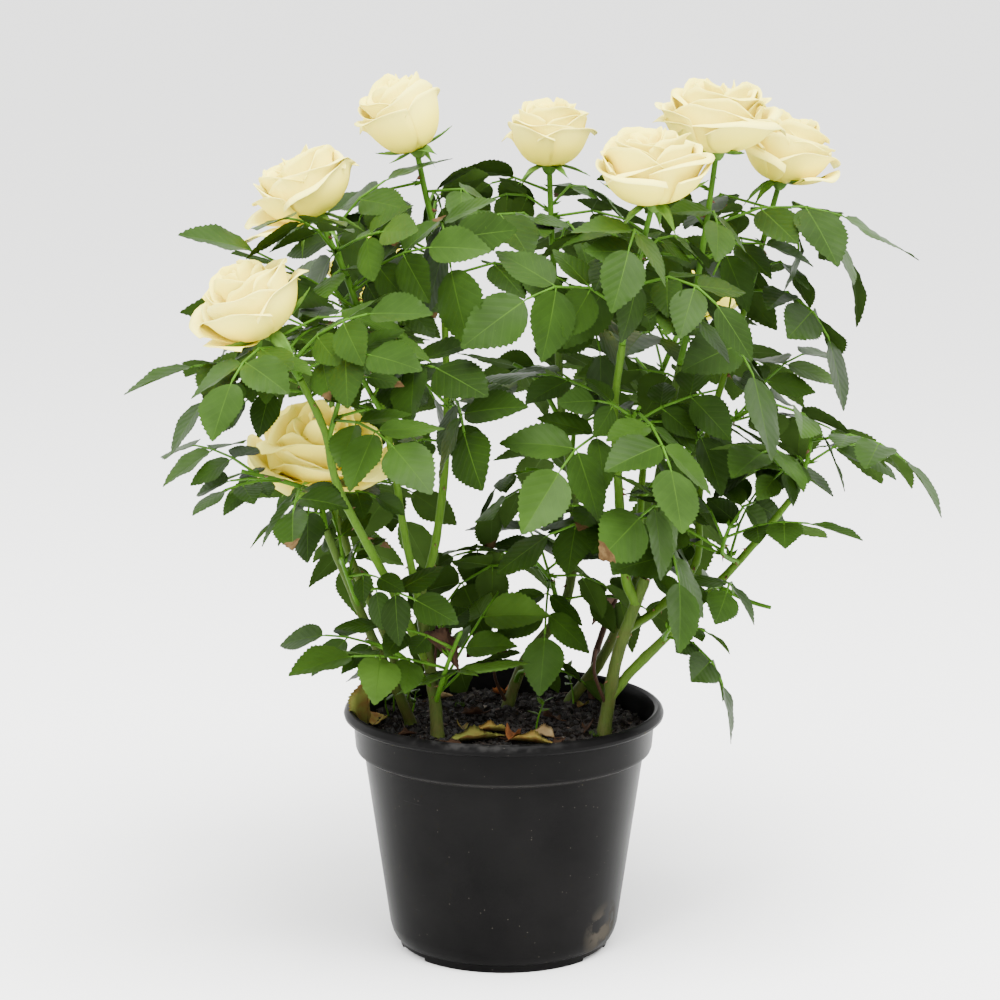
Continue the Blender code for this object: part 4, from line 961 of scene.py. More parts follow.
def tube_faces(ring_count, sides):
    """Faces of a closed tube: sides, then a fan at each end."""
    faces = []
    for i in range(ring_count - 1):
        for k in range(sides):
            a = i * sides + k
            b = i * sides + (k + 1) % sides
            faces.append((a, b, b + sides, a + sides))
    start = ring_count * sides
    last = (ring_count - 1) * sides
    for k in range(sides):
        faces.append((start, (k + 1) % sides, k))
        faces.append((start + 1, last + k, last + (k + 1) % sides))
    return faces


def tube(route, radii, sides):
    """Points and faces of a closed tube along a route."""
    rings = tube_points(route, radii, sides)
    verts = [p for ring in rings for p in ring]
    verts += [route[0], route[-1]]
    return verts, tube_faces(len(rings), sides)


def taper(r0, r1, route):
    """Radius at each point, falling evenly from the foot to the tip."""
    reach = lengths_along(route)
    return [r0 + (r1 - r0) * d / reach[-1] for d in reach]

# %% What has grown so far
def extent(points):
    """Lowest and highest corner of some points."""
    return [Vector([pick(p[i] for p in points) for i in range(3)]) for pick in (min, max)]


class Plant:
    """What has grown so far: routes of the limbs and what leaves must miss."""

    def __init__(self):
        self.routes = {}
        self.radii = {}
        self.solids = []

    def add_solid(self, name, verts, faces):
        points = [Vector(v) for v in verts]
        self.solids.append((name, *extent(points), BVHTree.FromPolygons(points, faces)))

    def touching(self, verts, faces, parent=None):
        """Name of a grown piece, not its own parent or mass, that the shape crosses."""
        points = [Vector(v) for v in verts]
        low, high = extent(points)
        tree = None
        for name, other_low, other_high, other in self.solids:
            if name == parent:
                continue
            if any(low[i] > other_high[i] or high[i] < other_low[i] for i in range(3)):
                continue
            tree = tree or BVHTree.FromPolygons(points, faces)
            if tree.overlap(other):
                return name
        return None


def limb_shape(plant, route, radii, sides, parent, share):
    """A tapering limb.  Its foot is flat on the peat or flat to its parent's
    tip; from a parent's side it starts on the parent's axis."""
    rings = tube_points(route, radii, sides)
    centre = route[0]
    if parent is None or share >= 1.0:
        level = Vector((0.0, 0.0, SOIL_Z + GAP)) if parent is None else route[0]
        facing = UP if parent is None else place_on(plant.routes[parent], 1.0)[1]
        heading = (route[1] - route[0]).normalized()
        *rings[0], centre = [p + heading * ((level - p).dot(facing) / heading.dot(facing))
                             for p in (*rings[0], centre)]
    verts = [p for ring in rings for p in ring] + [centre, route[-1]]
    return verts, tube_faces(len(rings), sides)

# %% Leaves as the rule tests them
def blade(root, heading, normal, length, width, grow=0.0):
    """A leaflet: oval outline, folded along the midrib, thick at its root."""
    side = normal.cross(heading).normalized()
    lift = normal.normalized()
    thick = length * BLADE_THICKNESS / 2 + grow
    half = width / 2 + grow
    rise = half * BLADE_FOLD
    tip = root + heading * (length + grow) - lift * (TIP_SINK * length)
    verts = [root + lift * thick, root - lift * thick]
    for sign in (1, -1):
        for along, out in BLADE_EDGE:
            edge = root + heading * (length * along) + side * (sign * half * out)
            verts.append(edge + lift * (rise - EDGE_SINK * length * along))
    verts.append(tip)
    faces = [
        (0, 3, 2), (0, 6, 3), (0, 4, 5), (0, 5, 6),
        (1, 2, 3), (1, 3, 6), (1, 5, 4), (1, 6, 5),
        (0, 2, 1), (0, 1, 4),
    ]
    return verts, faces


def outline(root, aim, face, along_rachis, length, width):
    """Edge of a leaflet from its near side to its far side, tip in the middle."""
    rise = width / 2 * BLADE_FOLD
    points = []
    near, far = BLADE_EDGE
    for sign, (along, out) in ((-1, near), (-1, far), (0, (1.0, 0.0)), (1, far), (1, near)):
        sink = TIP_SINK * length * along * along
        edge = root + aim * (length * along) + along_rachis * (sign * width / 2 * out)
        points.append(edge + face * (rise * out - sink))
    return points


def wing(top, low, edge, flip):
    """Upper and lower faces of a leaflet between two rings of its rachis."""
    near, a, b, tip, c, d, far = edge

    def fan(start, end):
        return [(start, near, a), (start, a, b), (start, b, tip), (start, tip, end),
                (end, tip, c), (end, c, d), (end, d, far)]

    faces = fan(*top) + [(p, r, q) for p, q, r in fan(*low)]
    return [tuple(reversed(f)) for f in faces] if flip else faces


def leaf_solid(rings, wings, end):
    """One closed compound leaf: a four-sided rachis with leaflets drawn out
    of its edges, and the end leaflet closing it."""
    verts = []
    for centre, across, normal, radius in rings:
        verts += [centre + normal * radius, centre + across * radius,
                  centre - normal * radius, centre - across * radius]
    faces = [(0, 3, 2, 1)]
    for i in range(len(rings) - 1):
        a, b = 4 * i, 4 * i + 4
        for sign, side in ((1, 1), (-1, 3)):
            leaflet = wings.get((i, sign))
            flip = sign < 0
            if leaflet is None:
                quads = [(a, a + side, b + side, b), (a + side, a + 2, b + 2, b + side)]
                faces += [tuple(reversed(q)) for q in quads] if flip else quads
                continue
            root = (verts[a + side] + verts[b + side]) / 2
            first = len(verts)
            verts += outline(root, *leaflet)
            edge = (a + side, *range(first, first + 5), b + side)
            faces += wing((a, b), (a + 2, b + 2), edge, flip)
    last = 4 * len(rings) - 4
    if end is None:
        faces.append((last, last + 1, last + 2, last + 3))
        return verts, faces
    first = len(verts)
    verts += outline(rings[-1][0], *end)
    edge = (last + 3, *range(first, first + 5), last + 1)
    for p, q in zip(edge, edge[1:]):
        faces += [(last, q, p), (last + 2, p, q)]
    return verts, faces


def turned_about(vector, axis, degrees):
    """A vector turned about an axis."""
    return Matrix.Rotation(math.radians(degrees), 3, axis) @ vector


def leaf_pose(root, stem_heading, azimuth, lift, droop, roll, length, pairs):
    """Rings of the rachis, and the leaflets keyed by ring and side."""
    flat = around(1.0, math.radians(azimuth))
    out = (flat - stem_heading * flat.dot(stem_heading) * STEM_TURN).normalized()
    across = out.cross(UP).normalized()
    rachis = length * RACHIS_LENGTH * (1.0 if pairs == 2 else SHORT_RACHIS)
    stations = LEAFLET_PAIRS if pairs == 2 else SHORT_PAIRS
    half = STALK_WIDTH / rachis / 2
    shares = [0.0]
    for place, _ in stations:
        shares += [place - half, place + half]
    shares.append(1.0)
    rings = []
    spot = root
    before = 0.0
    for share in shares:
        middle = (before + share) / 2
        spot = spot + turned_about(out, across, lift - droop * middle) * (share - before) * rachis
        before = share
        heading = turned_about(out, across, lift - droop * share)
        side = turned_about(across, heading, roll)
        radius = PETIOLE_RADIUS + (RACHIS_TIP_RADIUS - PETIOLE_RADIUS) * share
        rings.append((spot, side, side.cross(heading).normalized(), radius))
    wings = {}
    for i, (_, size) in enumerate(stations):
        ring = 1 + 2 * i
        side, normal = rings[ring][1], rings[ring][2]
        local = normal.cross(side)
        for sign in (1, -1):
            aim = turned_about(local, normal, -sign * PAIR_ANGLE)
            aim = (aim - normal * PAIR_DROOP).normalized()
            face = (normal + aim * PAIR_DROOP).normalized()
            along = face.cross(aim) * sign
            span = length * size
            wings[(ring, sign)] = (aim, face, along, span, span * BLADE_WIDTH)
    aim = (heading - rings[-1][2] * END_DROOP).normalized()
    face = (rings[-1][2] + heading * END_DROOP).normalized()
    end = (aim, face, aim.cross(face), length, length * BLADE_WIDTH)
    return rings, wings, end


def tilt_outward(root, azimuth):
    """Roll that turns a leaf's face away from the middle of the crown."""
    turn = math.radians(azimuth)
    across = Vector((math.sin(turn), -math.cos(turn), 0.0))
    outward = Vector((root.x, root.y, 0.0)).normalized()
    return OUTWARD_TILT * outward.dot(across)

# %% Growing one leaf, and the room a bloom takes
def grow_leaf(plant, rings, wings, end):
    """The leaf as a solid, and the leaflets it keeps, or None where it has no room."""
    route = [ring[0] for ring in rings]
    route[0] = route[0].lerp(route[1], ROOT_SKIP)
    if plant.touching(*tube(route, [r[3] + CLEARANCE for r in rings], 3)):
        return None, None
    kept = {}
    for place, leaflet in list(wings.items()) + [("end", end)]:
        root = rings[-1 if place == "end" else place[0]][0]
        aim, face, _, length, width = leaflet
        if in_opening(root + aim * length) or in_opening(root + aim * length * 0.5):
            return None, None
        if not plant.touching(*blade(root + aim * BLADE_SKIP, aim, face, length, width, CLEARANCE)):
            kept[place] = leaflet
    if len(kept) < len(wings):
        return None, None
    end = kept.pop("end", None)
    return leaf_solid(rings, kept, end), {**kept, "end": end}


def in_opening(point):
    """True inside one of the open places."""
    for centre, half in OPENINGS:
        offset = [(point[i] - centre[i]) / half[i] for i in range(3)]
        if sum(o * o for o in offset) < 1.0:
            return True
    return point.z < POT_KEEP_Z and math.hypot(point.x, point.y) < POT_KEEP_RADIUS


def bloom_shape(base, facing, radius, height, opened):
    """A rounded cup of petals on a five-pointed calyx, with a lobed rim and
    a sunken heart."""
    side = facing.orthogonal().normalized()
    other = facing.cross(side)
    verts = []
    for level, (share, spread, along, settle) in enumerate(BLOOM_PROFILE):
        for k in range(BLOOM_SIDES):
            turn = 2 * math.pi * k / BLOOM_SIDES
            lobe = 1 - 2 * (k % 2)
            reach = radius * (share + spread * opened)
            reach *= 1 + LOBE_REACH * lobe * (level >= LOBED_FROM)
            rise = height * (along + settle * opened + LOBE_RISE * lobe * (level in RIM_LEVELS))
            if level == SEPAL_LEVEL and lobe < 0:
                reach = radius * SEPAL_REACH
                rise = height * SEPAL_SAG
            verts.append(base + facing * rise
                         + (side * math.cos(turn) + other * math.sin(turn)) * reach)
    verts += [base + facing * height * BLOOM_FOOT, base + facing * height * BLOOM_HEART]
    return verts, tube_faces(len(BLOOM_PROFILE), BLOOM_SIDES)


def limb_route(plant, name, steps):
    """Route of a cane, or of a bough from its place on its cane."""
    parent, share, bends = LIMBS[name][:3]
    if parent:
        bends = (place_on(plant.routes[parent], share)[0],) + bends
    return smooth_route(bends, steps)


def stem_radii(name):
    """Radius of a shoot at its foot and at its tip."""
    return SHOOT_RADII if name in BLOOMS else SPRAY_RADII


def shoot_route(plant, parent, share, bends):
    """Route of a shoot, from its parent's tip or side."""
    start, heading = place_on(plant.routes[parent], share)
    if share >= 1.0:
        start = start + heading * GAP
    return smooth_route((start,) + bends, SHOOT_STEPS)

# %% Grow everything
def start_mass(plant, name):
    """The shoot of one mass, and its bloom, as shapes to keep clear of."""
    parent, share, bends = SHOOTS[name][:3]
    route = shoot_route(plant, parent, share, bends)
    radii = taper(*stem_radii(name), route)
    shapes = [limb_shape(plant, route, radii, SHOOT_SIDES, parent, share)]
    if name in BLOOMS:
        facing, radius, height, opened = BLOOMS[name]
        facing = Vector(facing).normalized()
        shapes.append(bloom_shape(route[-1] - facing * BLOOM_SEAT, facing, radius, height, opened))
    for shape in shapes:
        plant.add_solid(name, *shape)
    return route


def leaf_draw(chance, route, first, droop, length, i, along, pairs):
    """One throw of the dice for a leaf's place, tilt and size."""
    azimuth = first + DIVERGENCE * i + chance.uniform(-1, 1) * TURN_SPREAD
    lift = chance.uniform(*LEAF_LIFT)
    sag = droop + chance.uniform(-1, 1) * DROOP_SPREAD
    root, heading = place_on(route, along + chance.uniform(-1, 1) * LEAF_SHIFT)
    roll = tilt_outward(root, azimuth) + chance.uniform(-1, 1) * ROLL_SPREAD
    size = length * chance.uniform(*SIZE_SPREAD)
    return leaf_pose(root, heading, azimuth, lift, sag, roll, size, pairs)


def settle(plant, name, pose, grown, reach=None):
    """Keep a leaf where it has room, and tell whether it was kept."""
    leaf, kept = grow_leaf(plant, *pose)
    if not leaf or (reach and not reach(leaf[0], name)) or plant.touching(*leaf, name):
        return False
    plant.add_solid(name, *leaf)
    grown.append((pose[0], kept))
    return True


def grow_masses(plant, routes):
    """The leaves of every mass, in the order in which the solids grew."""
    grown = {}
    for index, name in enumerate(SHOOTS):
        count, first, droop, length = SHOOTS[name][3:]
        chance = random.Random(SEED + index)
        grown[name] = []
        for i in range(count):
            span = LEAF_SPAN_BLOOM if name in BLOOMS else LEAF_SPAN
            along = LEAF_START + span * (i + 0.5) / count
            pairs = 1 if name in BLOOMS and i == count - 1 else 2
            for _ in range(TRIES):
                pose = leaf_draw(chance, routes[name], first, droop, length, i, along, pairs)
                if settle(plant, name, pose, grown[name]):
                    break
    return grown


plant = Plant()
for node in ("pot", "soil"):
    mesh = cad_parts[node].data
    plant.add_solid(node, [v.co.copy() for v in mesh.vertices],
                    [tuple(p.vertices) for p in mesh.polygons])
for name, (parent, share, _, r0, r1) in LIMBS.items():
    route = limb_route(plant, name, CANE_STEPS)
    plant.routes[name] = route
    plant.radii[name] = (r0, r1)
    radii = taper(r0, r1, route)
    radii[0] = radii[0] if parent else r0 * FOOT_FLARE
    plant.add_solid(name, *limb_shape(plant, route, radii, CANE_SIDES, parent, share))
shoot_routes = {name: start_mass(plant, name) for name in SHOOTS}
leaves = grow_masses(plant, shoot_routes)
print("limbs", len(LIMBS), "shoots", len(SHOOTS), "leaves", sum(map(len, leaves.values())))

# %% Smaller leaves that have no solid of their own
SMALL_SEED = 642
SMALL_LEAVES = 4            # tried on each shoot
SMALL_SIZE = (0.62, 0.88)   # of the shoot's own leaflets
SMALL_TRIES = 10
SMALL_START = 0.03          # share of the shoot where they begin
SMALL_TURN = 68.0           # they start between the first leaves
SMALL_MARGIN = 0.004        # how far they may pass the box of their mass


def within_reach(verts, name):
    """True where a leaf stays inside the reach of its mass."""
    low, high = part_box(name)
    return all(low[i] - SMALL_MARGIN < v[i] < high[i] + SMALL_MARGIN for v in verts for i in range(3))


def grow_small_leaves(plant, routes):
    """More leaves of the same kind, in the room that is left round each shoot."""
    for index, name in enumerate(SHOOTS):
        _, first, droop, length = SHOOTS[name][3:]
        chance = random.Random(SMALL_SEED + index)
        for i in range(SMALL_LEAVES):
            for _ in range(SMALL_TRIES):
                along = chance.uniform(SMALL_START, LEAF_SPAN_BLOOM if name in BLOOMS else 1.0)
                size = length * chance.uniform(*SMALL_SIZE)
                pose = leaf_draw(chance, routes[name], first + SMALL_TURN, droop, size, i, along, 1 + i % 2)
                if settle(plant, name, pose, leaves[name], within_reach):
                    break


grow_small_leaves(plant, shoot_routes)
print("leaves with the small ones", sum(map(len, leaves.values())))

# %% [markdown]
# ## Canes and boughs
# A rose cane is a smooth green rod, a little swollen at each bud, brown and striped
# near the ground and paler green above.  Each one is a curve with a round bevel whose
# radius tapers; it is converted to a mesh, and a Displace modifier gives the bark its
# relief.  Hooked prickles are a joined mesh made from arrays.

# %% Cane materials
def make_bark(name, young, old, stripe, low, high):
    """Green bark that turns browner towards the peat, with fine stripes."""
    made, tree, shader, place = start_material(name, young, 0.55, 0.06)
    aged = map_range(tree, split_place(tree, place)["Z"], low, high, 1.0, 0.0)
    uneven = map_range(tree, patches(tree, place, 70.0, 0.35, 0.65), 0.0, 1.0, 0.35, 1.0)
    colour = mix_colours(tree, calculate(tree, "MULTIPLY", aged, uneven), young, old)
    lines = stretched_noise(tree, place, (900.0, 900.0, 60.0))
    mask = map_range(tree, lines, 0.50, 0.68, 0.0, 0.55)
    tree.links.new(mix_colours(tree, mask, colour, stripe), shader.inputs["Base Color"])
    bump(tree, shader, lines, 0.0004, 0.7)
    return made


CANE_BARK = make_bark("cane_green", (0.036, 0.074, 0.009), (0.046, 0.042, 0.012),
                      (0.024, 0.044, 0.007), 0.14, 0.30)
BOUGH_BARK = make_bark("bough_green", (0.048, 0.106, 0.008), (0.040, 0.058, 0.010),
                       (0.030, 0.068, 0.006), 0.14, 0.26)
DEAD_BARK = make_bark("dead_wood", (0.026, 0.013, 0.008), (0.036, 0.020, 0.012),
                      (0.012, 0.006, 0.004), 0.14, 0.20)
CUT_WOOD = drifting("cut_wood", (0.120, 0.075, 0.035), (0.060, 0.034, 0.017), 500.0, 0.8, 0.1)
PRICKLE_RED = drifting("prickle", (0.080, 0.026, 0.012), (0.100, 0.060, 0.020), 200.0, 0.5, 0.2)
TWIG_GREEN = drifting("twig_green", (0.048, 0.125, 0.009), (0.034, 0.088, 0.007), 60.0, 0.55, 0.06, 0.0003)

# %% Round rods from curves
ROD_SIDES = 4               # bevel resolution, which gives twelve sides
ROD_STEPS = 12              # points for each stretch between two bends
KNUCKLE_SPACING = 0.034     # between two buds of a cane
KNUCKLE_SWELL = 0.13        # of the radius
GRAIN_SIZE = 0.006          # of the bark's relief
GRAIN_DEPTH = 0.0006
FOOT_DEPTH = 0.003          # of a cane in the crumbs
FLARE_REACH = 0.014         # length of its wider foot
GRAIN = clouds("bark_grain", GRAIN_SIZE)


def make_rod(name, route, radii, bark):
    """A tapering rod with swollen buds and a rough skin, as one mesh."""
    curve = bpy.data.curves.new(name, "CURVE")
    curve.dimensions = "3D"
    curve.bevel_depth = 1.0
    curve.bevel_resolution = ROD_SIDES
    curve.use_fill_caps = True
    spline = curve.splines.new("POLY")
    spline.points.add(len(route) - 1)
    reach = lengths_along(route)
    for point, place, radius, d in zip(spline.points, route, radii, reach):
        point.co = (*place, 1.0)
        swell = max(0.0, math.cos(2 * math.pi * d / KNUCKLE_SPACING)) ** 8
        point.radius = radius * (1 + KNUCKLE_SWELL * swell)
    made = bpy.data.objects.new(name, curve)
    bpy.context.scene.collection.objects.link(made)
    select_only(made)
    bpy.ops.object.convert(target="MESH")
    modify(made, "DISPLACE", texture=GRAIN, texture_coords="LOCAL", strength=GRAIN_DEPTH)
    coat(made, bark)
    made.data.shade_smooth()
    return made


for name, (parent, _, _, r0, r1) in LIMBS.items():
    route = limb_route(plant, name, ROD_STEPS)
    radii = taper(r0, r1, route)
    if parent is None:
        radii = [r * (1 + (FOOT_FLARE - 1) * max(0.0, 1 - d / FLARE_REACH) ** 2)
                 for r, d in zip(radii, lengths_along(route))]
        route[0] = route[0] - UP * FOOT_DEPTH
    dead = name == "dead_cane"
    rod = make_rod(f"{name}_bark", route, radii, DEAD_BARK if dead else BOUGH_BARK if parent else CANE_BARK)
    finish(rod, "dead_wood" if dead else "cane_green", name)

# %% Thin rods as arrays
def as_rod(route, radii, sides, steps):
    """Points and faces of a smooth thin rod through a few bends."""
    fine = smooth_route(route, steps)
    at = [k / steps for k in range(len(fine))]
    widths = np.interp(at, range(len(radii)), radii)
    return tube(fine, list(widths), sides)

# %% Prickles
PRICKLE_SEED = 7
PRICKLE_SPACING = 0.013
PRICKLE_LENGTH = 0.0042
PRICKLE_SPREAD = (0.5, 1.1)
BARE_SHARE = 0.25           # of the places for a prickle that have none
BARE_FROM = 0.93            # no prickles beyond this share of a stem


def add_prickle(heap, chance, root, heading, radius, size):
    """A hooked prickle: a flat cone that leans down the stem."""
    turn = chance.uniform(0, 360)
    out = turned_about(heading.orthogonal().normalized(), heading, turn)
    side = heading.cross(out)
    foot = root + out * radius * 0.7
    tip = foot + out * size - heading * size * 0.45
    middle = foot + out * size * 0.5 - heading * size * 0.06
    ring = []
    for centre, tall, wide in ((foot, 0.42, 0.20), (middle, 0.15, 0.09)):
        for k in range(4):
            angle = math.pi / 2 * k
            ring.append(centre + heading * size * tall * math.cos(angle)
                        + side * size * wide * math.sin(angle))
    faces = [(k, (k + 1) % 4, 4 + (k + 1) % 4, 4 + k) for k in range(4)]
    faces += [(4 + k, 4 + (k + 1) % 4, 8) for k in range(4)] + [(3, 2, 1, 0)]
    heap.add(ring + [tip], faces, 0)


def make_prickles():
    """Prickles on every living cane, bough and shoot."""
    chance = random.Random(PRICKLE_SEED)
    heap = Heap()
    stems = [(r, *plant.radii[n]) for n, r in plant.routes.items() if n != "dead_cane"]
    stems += [(r, *stem_radii(n)) for n, r in shoot_routes.items()]
    for route, r0, r1 in stems:
        length = lengths_along(route)[-1]
        for i in range(int(length / PRICKLE_SPACING)):
            share = (i + chance.random()) * PRICKLE_SPACING / length
            if chance.random() < BARE_SHARE or share > BARE_FROM:
                continue
            root, heading = place_on(route, share)
            radius = r0 + (r1 - r0) * share
            size = PRICKLE_LENGTH * chance.uniform(*PRICKLE_SPREAD)
            add_prickle(heap, chance, root, heading, radius, size)
    return heap.build("prickles", [PRICKLE_RED])


finish(make_prickles(), "cane_green")

# %% [markdown]
# ## Leaves
# A rose leaf is compound: five leaflets on a thin stalk, each one oval, folded a
# little along its midrib and toothed round its edge.  One leaflet is worked out as
# an array of points; every leaflet of the plant is that array, bent, folded, waved
# and turned in its own way.  Its colour is plain and dealt out leaf by leaf; a pattern
# map of its own, which bends with it, carries the fine side veins.

# %% One leaflet as an array
TEETH = 14                  # on each side
TOOTH = 0.048               # how far a tooth stands out, of the half width
VEIN_HALF = 0.012           # half width of the pale midrib, of the width
WIDEST = 0.42               # where the leaflet is widest


def half_width(t):
    """Half width of a leaflet at a share of its length; 0.5 where it is widest."""
    if t < WIDEST:
        return 0.5 * (1 - (1 - t / WIDEST) ** 2.3) ** 0.62
    return 0.5 * (1 - ((t - WIDEST) / (1 - WIDEST)) ** 1.62)


def leaflet_array():
    """Points (across, along, layer) and faces of one closed leaflet.  The layer is 1
    above, -1 below and 0 at the edge.  Faces are dealt to: 0 the upper side, 1 the
    lower side, 2 the midrib."""
    rows = [k / TEETH for k in range(TEETH + 1)]
    points = []
    index = {}

    def add(key, across, along, layer):
        index[key] = len(points)
        points.append((across, along, layer))

    for layer in (1, -1):
        for k, t in enumerate(rows):
            inside = 0 < k < TEETH
            for sign in (-1, 1):
                vein = min(VEIN_HALF * (1.15 - t), half_width(t)) if k else VEIN_HALF * 0.6
                add((layer, k, sign, "vein"), sign * (vein if k < TEETH else 0.0), t, layer)
                if inside:
                    add((layer, k, sign, "blade"), sign * half_width(t) * 0.56, t - 0.012, layer)
    for sign in (-1, 1):
        for k in range(1, TEETH):
            valley = rows[k]
            peak = valley + 0.55 / TEETH
            add((0, k, sign, "valley"), sign * half_width(valley) * (1 - TOOTH * 0.5), valley, 0)
            reach = half_width(min(peak - 0.02, 1.0)) * (1 + TOOTH)
            add((0, k, sign, "peak"), sign * reach, peak, 0)
        first = 0.5 / TEETH
        add((0, 0, sign, "peak"), sign * half_width(first) * 0.96, first, 0)
    faces = []
    for layer in (1, -1):
        side = 0 if layer > 0 else 1

        def put(corners, kind):
            loop = corners if layer > 0 else corners[::-1]
            faces.append((tuple(index[c] for c in loop), kind))

        for k in range(TEETH):
            lower_l, lower_r = (layer, k, -1, "vein"), (layer, k, 1, "vein")
            upper_l, upper_r = (layer, k + 1, -1, "vein"), (layer, k + 1, 1, "vein")
            put([lower_l, lower_r, upper_r, upper_l], 2)
            for sign in (-1, 1):
                vein, vein_up = (layer, k, sign, "vein"), (layer, k + 1, sign, "vein")
                blade_at, blade_up = (layer, k, sign, "blade"), (layer, k + 1, sign, "blade")
                peak = (0, k, sign, "peak")
                valley, valley_up = (0, k, sign, "valley"), (0, k + 1, sign, "valley")
                if k == 0:
                    shapes = [[vein, peak, blade_up, vein_up], [peak, valley_up, blade_up]]
                elif k == TEETH - 1:
                    shapes = [[vein, blade_at, vein_up], [blade_at, valley, peak], [blade_at, peak, vein_up]]
                else:
                    shapes = [[vein, blade_at, blade_up, vein_up], [blade_at, valley, peak],
                              [blade_at, peak, blade_up], [peak, valley_up, blade_up]]
                for shape in shapes:
                    put(shape if sign > 0 else shape[::-1], side)
    return np.array(points, float), [f for f, _ in faces], [k for _, k in faces]


LEAFLET, LEAFLET_FACES, LEAFLET_SIDES = leaflet_array()
LEAFLET_PATTERN = LEAFLET[:, :2] + np.array((0.5, 0.0))     # its pattern map, 0 to 1
print("leaflet points", len(LEAFLET), "faces", len(LEAFLET_FACES))

# %% Bending a leaflet into place
EDGE_WAVES = 14.0           # radians of its wave from base to tip
EDGE_SHIFT = 1.3            # radians between its middle and each side
QUILT = 0.013               # swelling between the side veins, of the length
HALF_SHEET = 0.00018        # half its thickness


def place_leaflet(root, aim, face, along, length, width, bend):
    """Points of a leaflet; bend holds droop, fold, twist, wave and cup."""
    droop, fold, twist, wave, cup = bend
    x = LEAFLET[:, 0] * width
    t = LEAFLET[:, 1]
    spread = np.abs(LEAFLET[:, 0]) * 2
    lift = fold * np.abs(x) - droop * length * t * t
    lift += wave * length * np.sin(t * EDGE_WAVES + np.sign(x) * EDGE_SHIFT) * spread * spread
    lift += cup * width * spread * spread * np.sin(math.pi * t)
    lift += QUILT * length * np.cos(t * TEETH * math.pi) * spread * (spread < 0.75)
    lift += twist * x * t
    lift += LEAFLET[:, 2] * HALF_SHEET
    across, forward, normal = (np.array(v) for v in (along, aim, face))
    return (np.array(root) + np.outer(x, across) + np.outer(t * length, forward)
            + np.outer(lift, normal))


def level_leaflet(root, aim, length, width, bend, lean=Vector()):
    """Points of a leaflet that looks up, or leans a little away from that."""
    aim = Vector(aim).normalized()
    face = (UP - aim * aim.z + lean).normalized()
    return place_leaflet(root, aim, face, aim.cross(face), length, width, bend)


def random_bend(chance):
    """Droop, fold, twist, wave and cup of one leaflet."""
    return (chance.uniform(0.02, 0.16), chance.uniform(0.02, 0.34), chance.gauss(0, 0.22),
            chance.uniform(0.004, 0.016), chance.uniform(-0.10, 0.04))

# %% Leaf colours
LEAF_TOPS = (               # from the darkest to the youngest
    (0.0110, 0.0262, 0.0028),
    (0.0140, 0.0330, 0.0037),
    (0.0172, 0.0405, 0.0047),
    (0.0213, 0.0492, 0.0059),
    (0.0266, 0.0600, 0.0074),
    (0.0390, 0.0835, 0.0105),
)
LEAF_UNDERSIDES = ((0.022, 0.046, 0.007), (0.029, 0.058, 0.010))
VEIN_COLOUR = (0.032, 0.072, 0.007)
BROWN_TIP = (0.040, 0.022, 0.008)

SIDE_VEINS = 6.5            # pairs along a leaflet
VEIN_SLANT = 2.4            # how far a side vein runs up towards the edge


def dimmed(colour, share):
    """A share of a colour."""
    return tuple(x * share for x in colour)


def make_leaf_top(name, colour):
    """Half glossy green, with side veins that follow the leaflet's own pattern map."""
    made, tree, shader, place = start_material(name, colour, 0.42, 0.05)
    drift = use_group(tree, DRIFT, Vector=place, Colour=colour, Second_colour=dimmed(colour, 0.72),
                      Scale=45.0)
    spot = split_place(tree, add_node(tree, "ShaderNodeUVMap", uv_map="pattern").outputs["UV"])
    across = calculate(tree, "ABSOLUTE", calculate(tree, "SUBTRACT", spot["X"], 0.5))
    row = calculate(tree, "SUBTRACT", calculate(tree, "MULTIPLY", spot["Y"], SIDE_VEINS),
                    calculate(tree, "MULTIPLY", across, 2 * VEIN_SLANT))
    swell = calculate(tree, "PINGPONG", row, 0.5)
    vein = map_range(tree, swell, 0.0, 0.09, 0.16, 0.0)
    tree.links.new(mix_colours(tree, vein, drift["Colour"], VEIN_COLOUR), shader.inputs["Base Color"])
    bump(tree, shader, swell, 0.0005, 0.35)
    return made


LEAF_FINISHES = [make_leaf_top(f"leaf_green_{i + 1}", c) for i, c in enumerate(LEAF_TOPS)]
LEAF_FINISHES += [drifting(f"leaf_under_{i + 1}", c, dimmed(c, 0.85), 60.0, 0.85, 0.01)
                  for i, c in enumerate(LEAF_UNDERSIDES)]
LEAF_FINISHES += [drifting("leaf_vein", VEIN_COLOUR, dimmed(VEIN_COLOUR, 0.8), 60.0, 0.6, 0.05),
                  drifting("leaf_tip_brown", BROWN_TIP, (0.075, 0.046, 0.018), 260.0, 0.8, 0.05)]
YOUNGEST = len(LEAF_TOPS) - 1
UNDER_1 = len(LEAF_TOPS)
VEIN = UNDER_1 + len(LEAF_UNDERSIDES)
BROWN = VEIN + 1

# %% Dress every leaf
DRESS_SEED = 5000
BROWN_SHARE = 0.03          # leaflets with a dry tip
BROWN_FROM = 0.80           # where the dry tip begins
LEAF_SHADES = (0, 1, 1, 2, 2, 3, 3, 4)      # greens dealt to whole leaves
SHADE_STEPS = (-1, 0, 0, 0, 1)      # from a leaf's green to its leaflets'
LEAFLET_STALK = 0.0022
CREASED_FROM = 70.0         # degrees


def add_stipule(heap, root, heading, side, face):
    """One of the two small ears where the leaf stalk meets the shoot."""
    tip = root + heading * 0.0075 + side * 0.0036
    ridge = root + heading * 0.0040 + side * 0.0024
    thick = face * 0.0003
    points = [root, ridge + side * 0.0008 - heading * 0.0008, tip, ridge - side * 0.0014 + heading * 0.0008]
    heap.add(points + [ridge + thick, ridge - thick],
             [(0, 1, 4), (1, 2, 4), (2, 3, 4), (3, 0, 4), (1, 0, 5), (2, 1, 5), (3, 2, 5), (0, 3, 5)], 0)


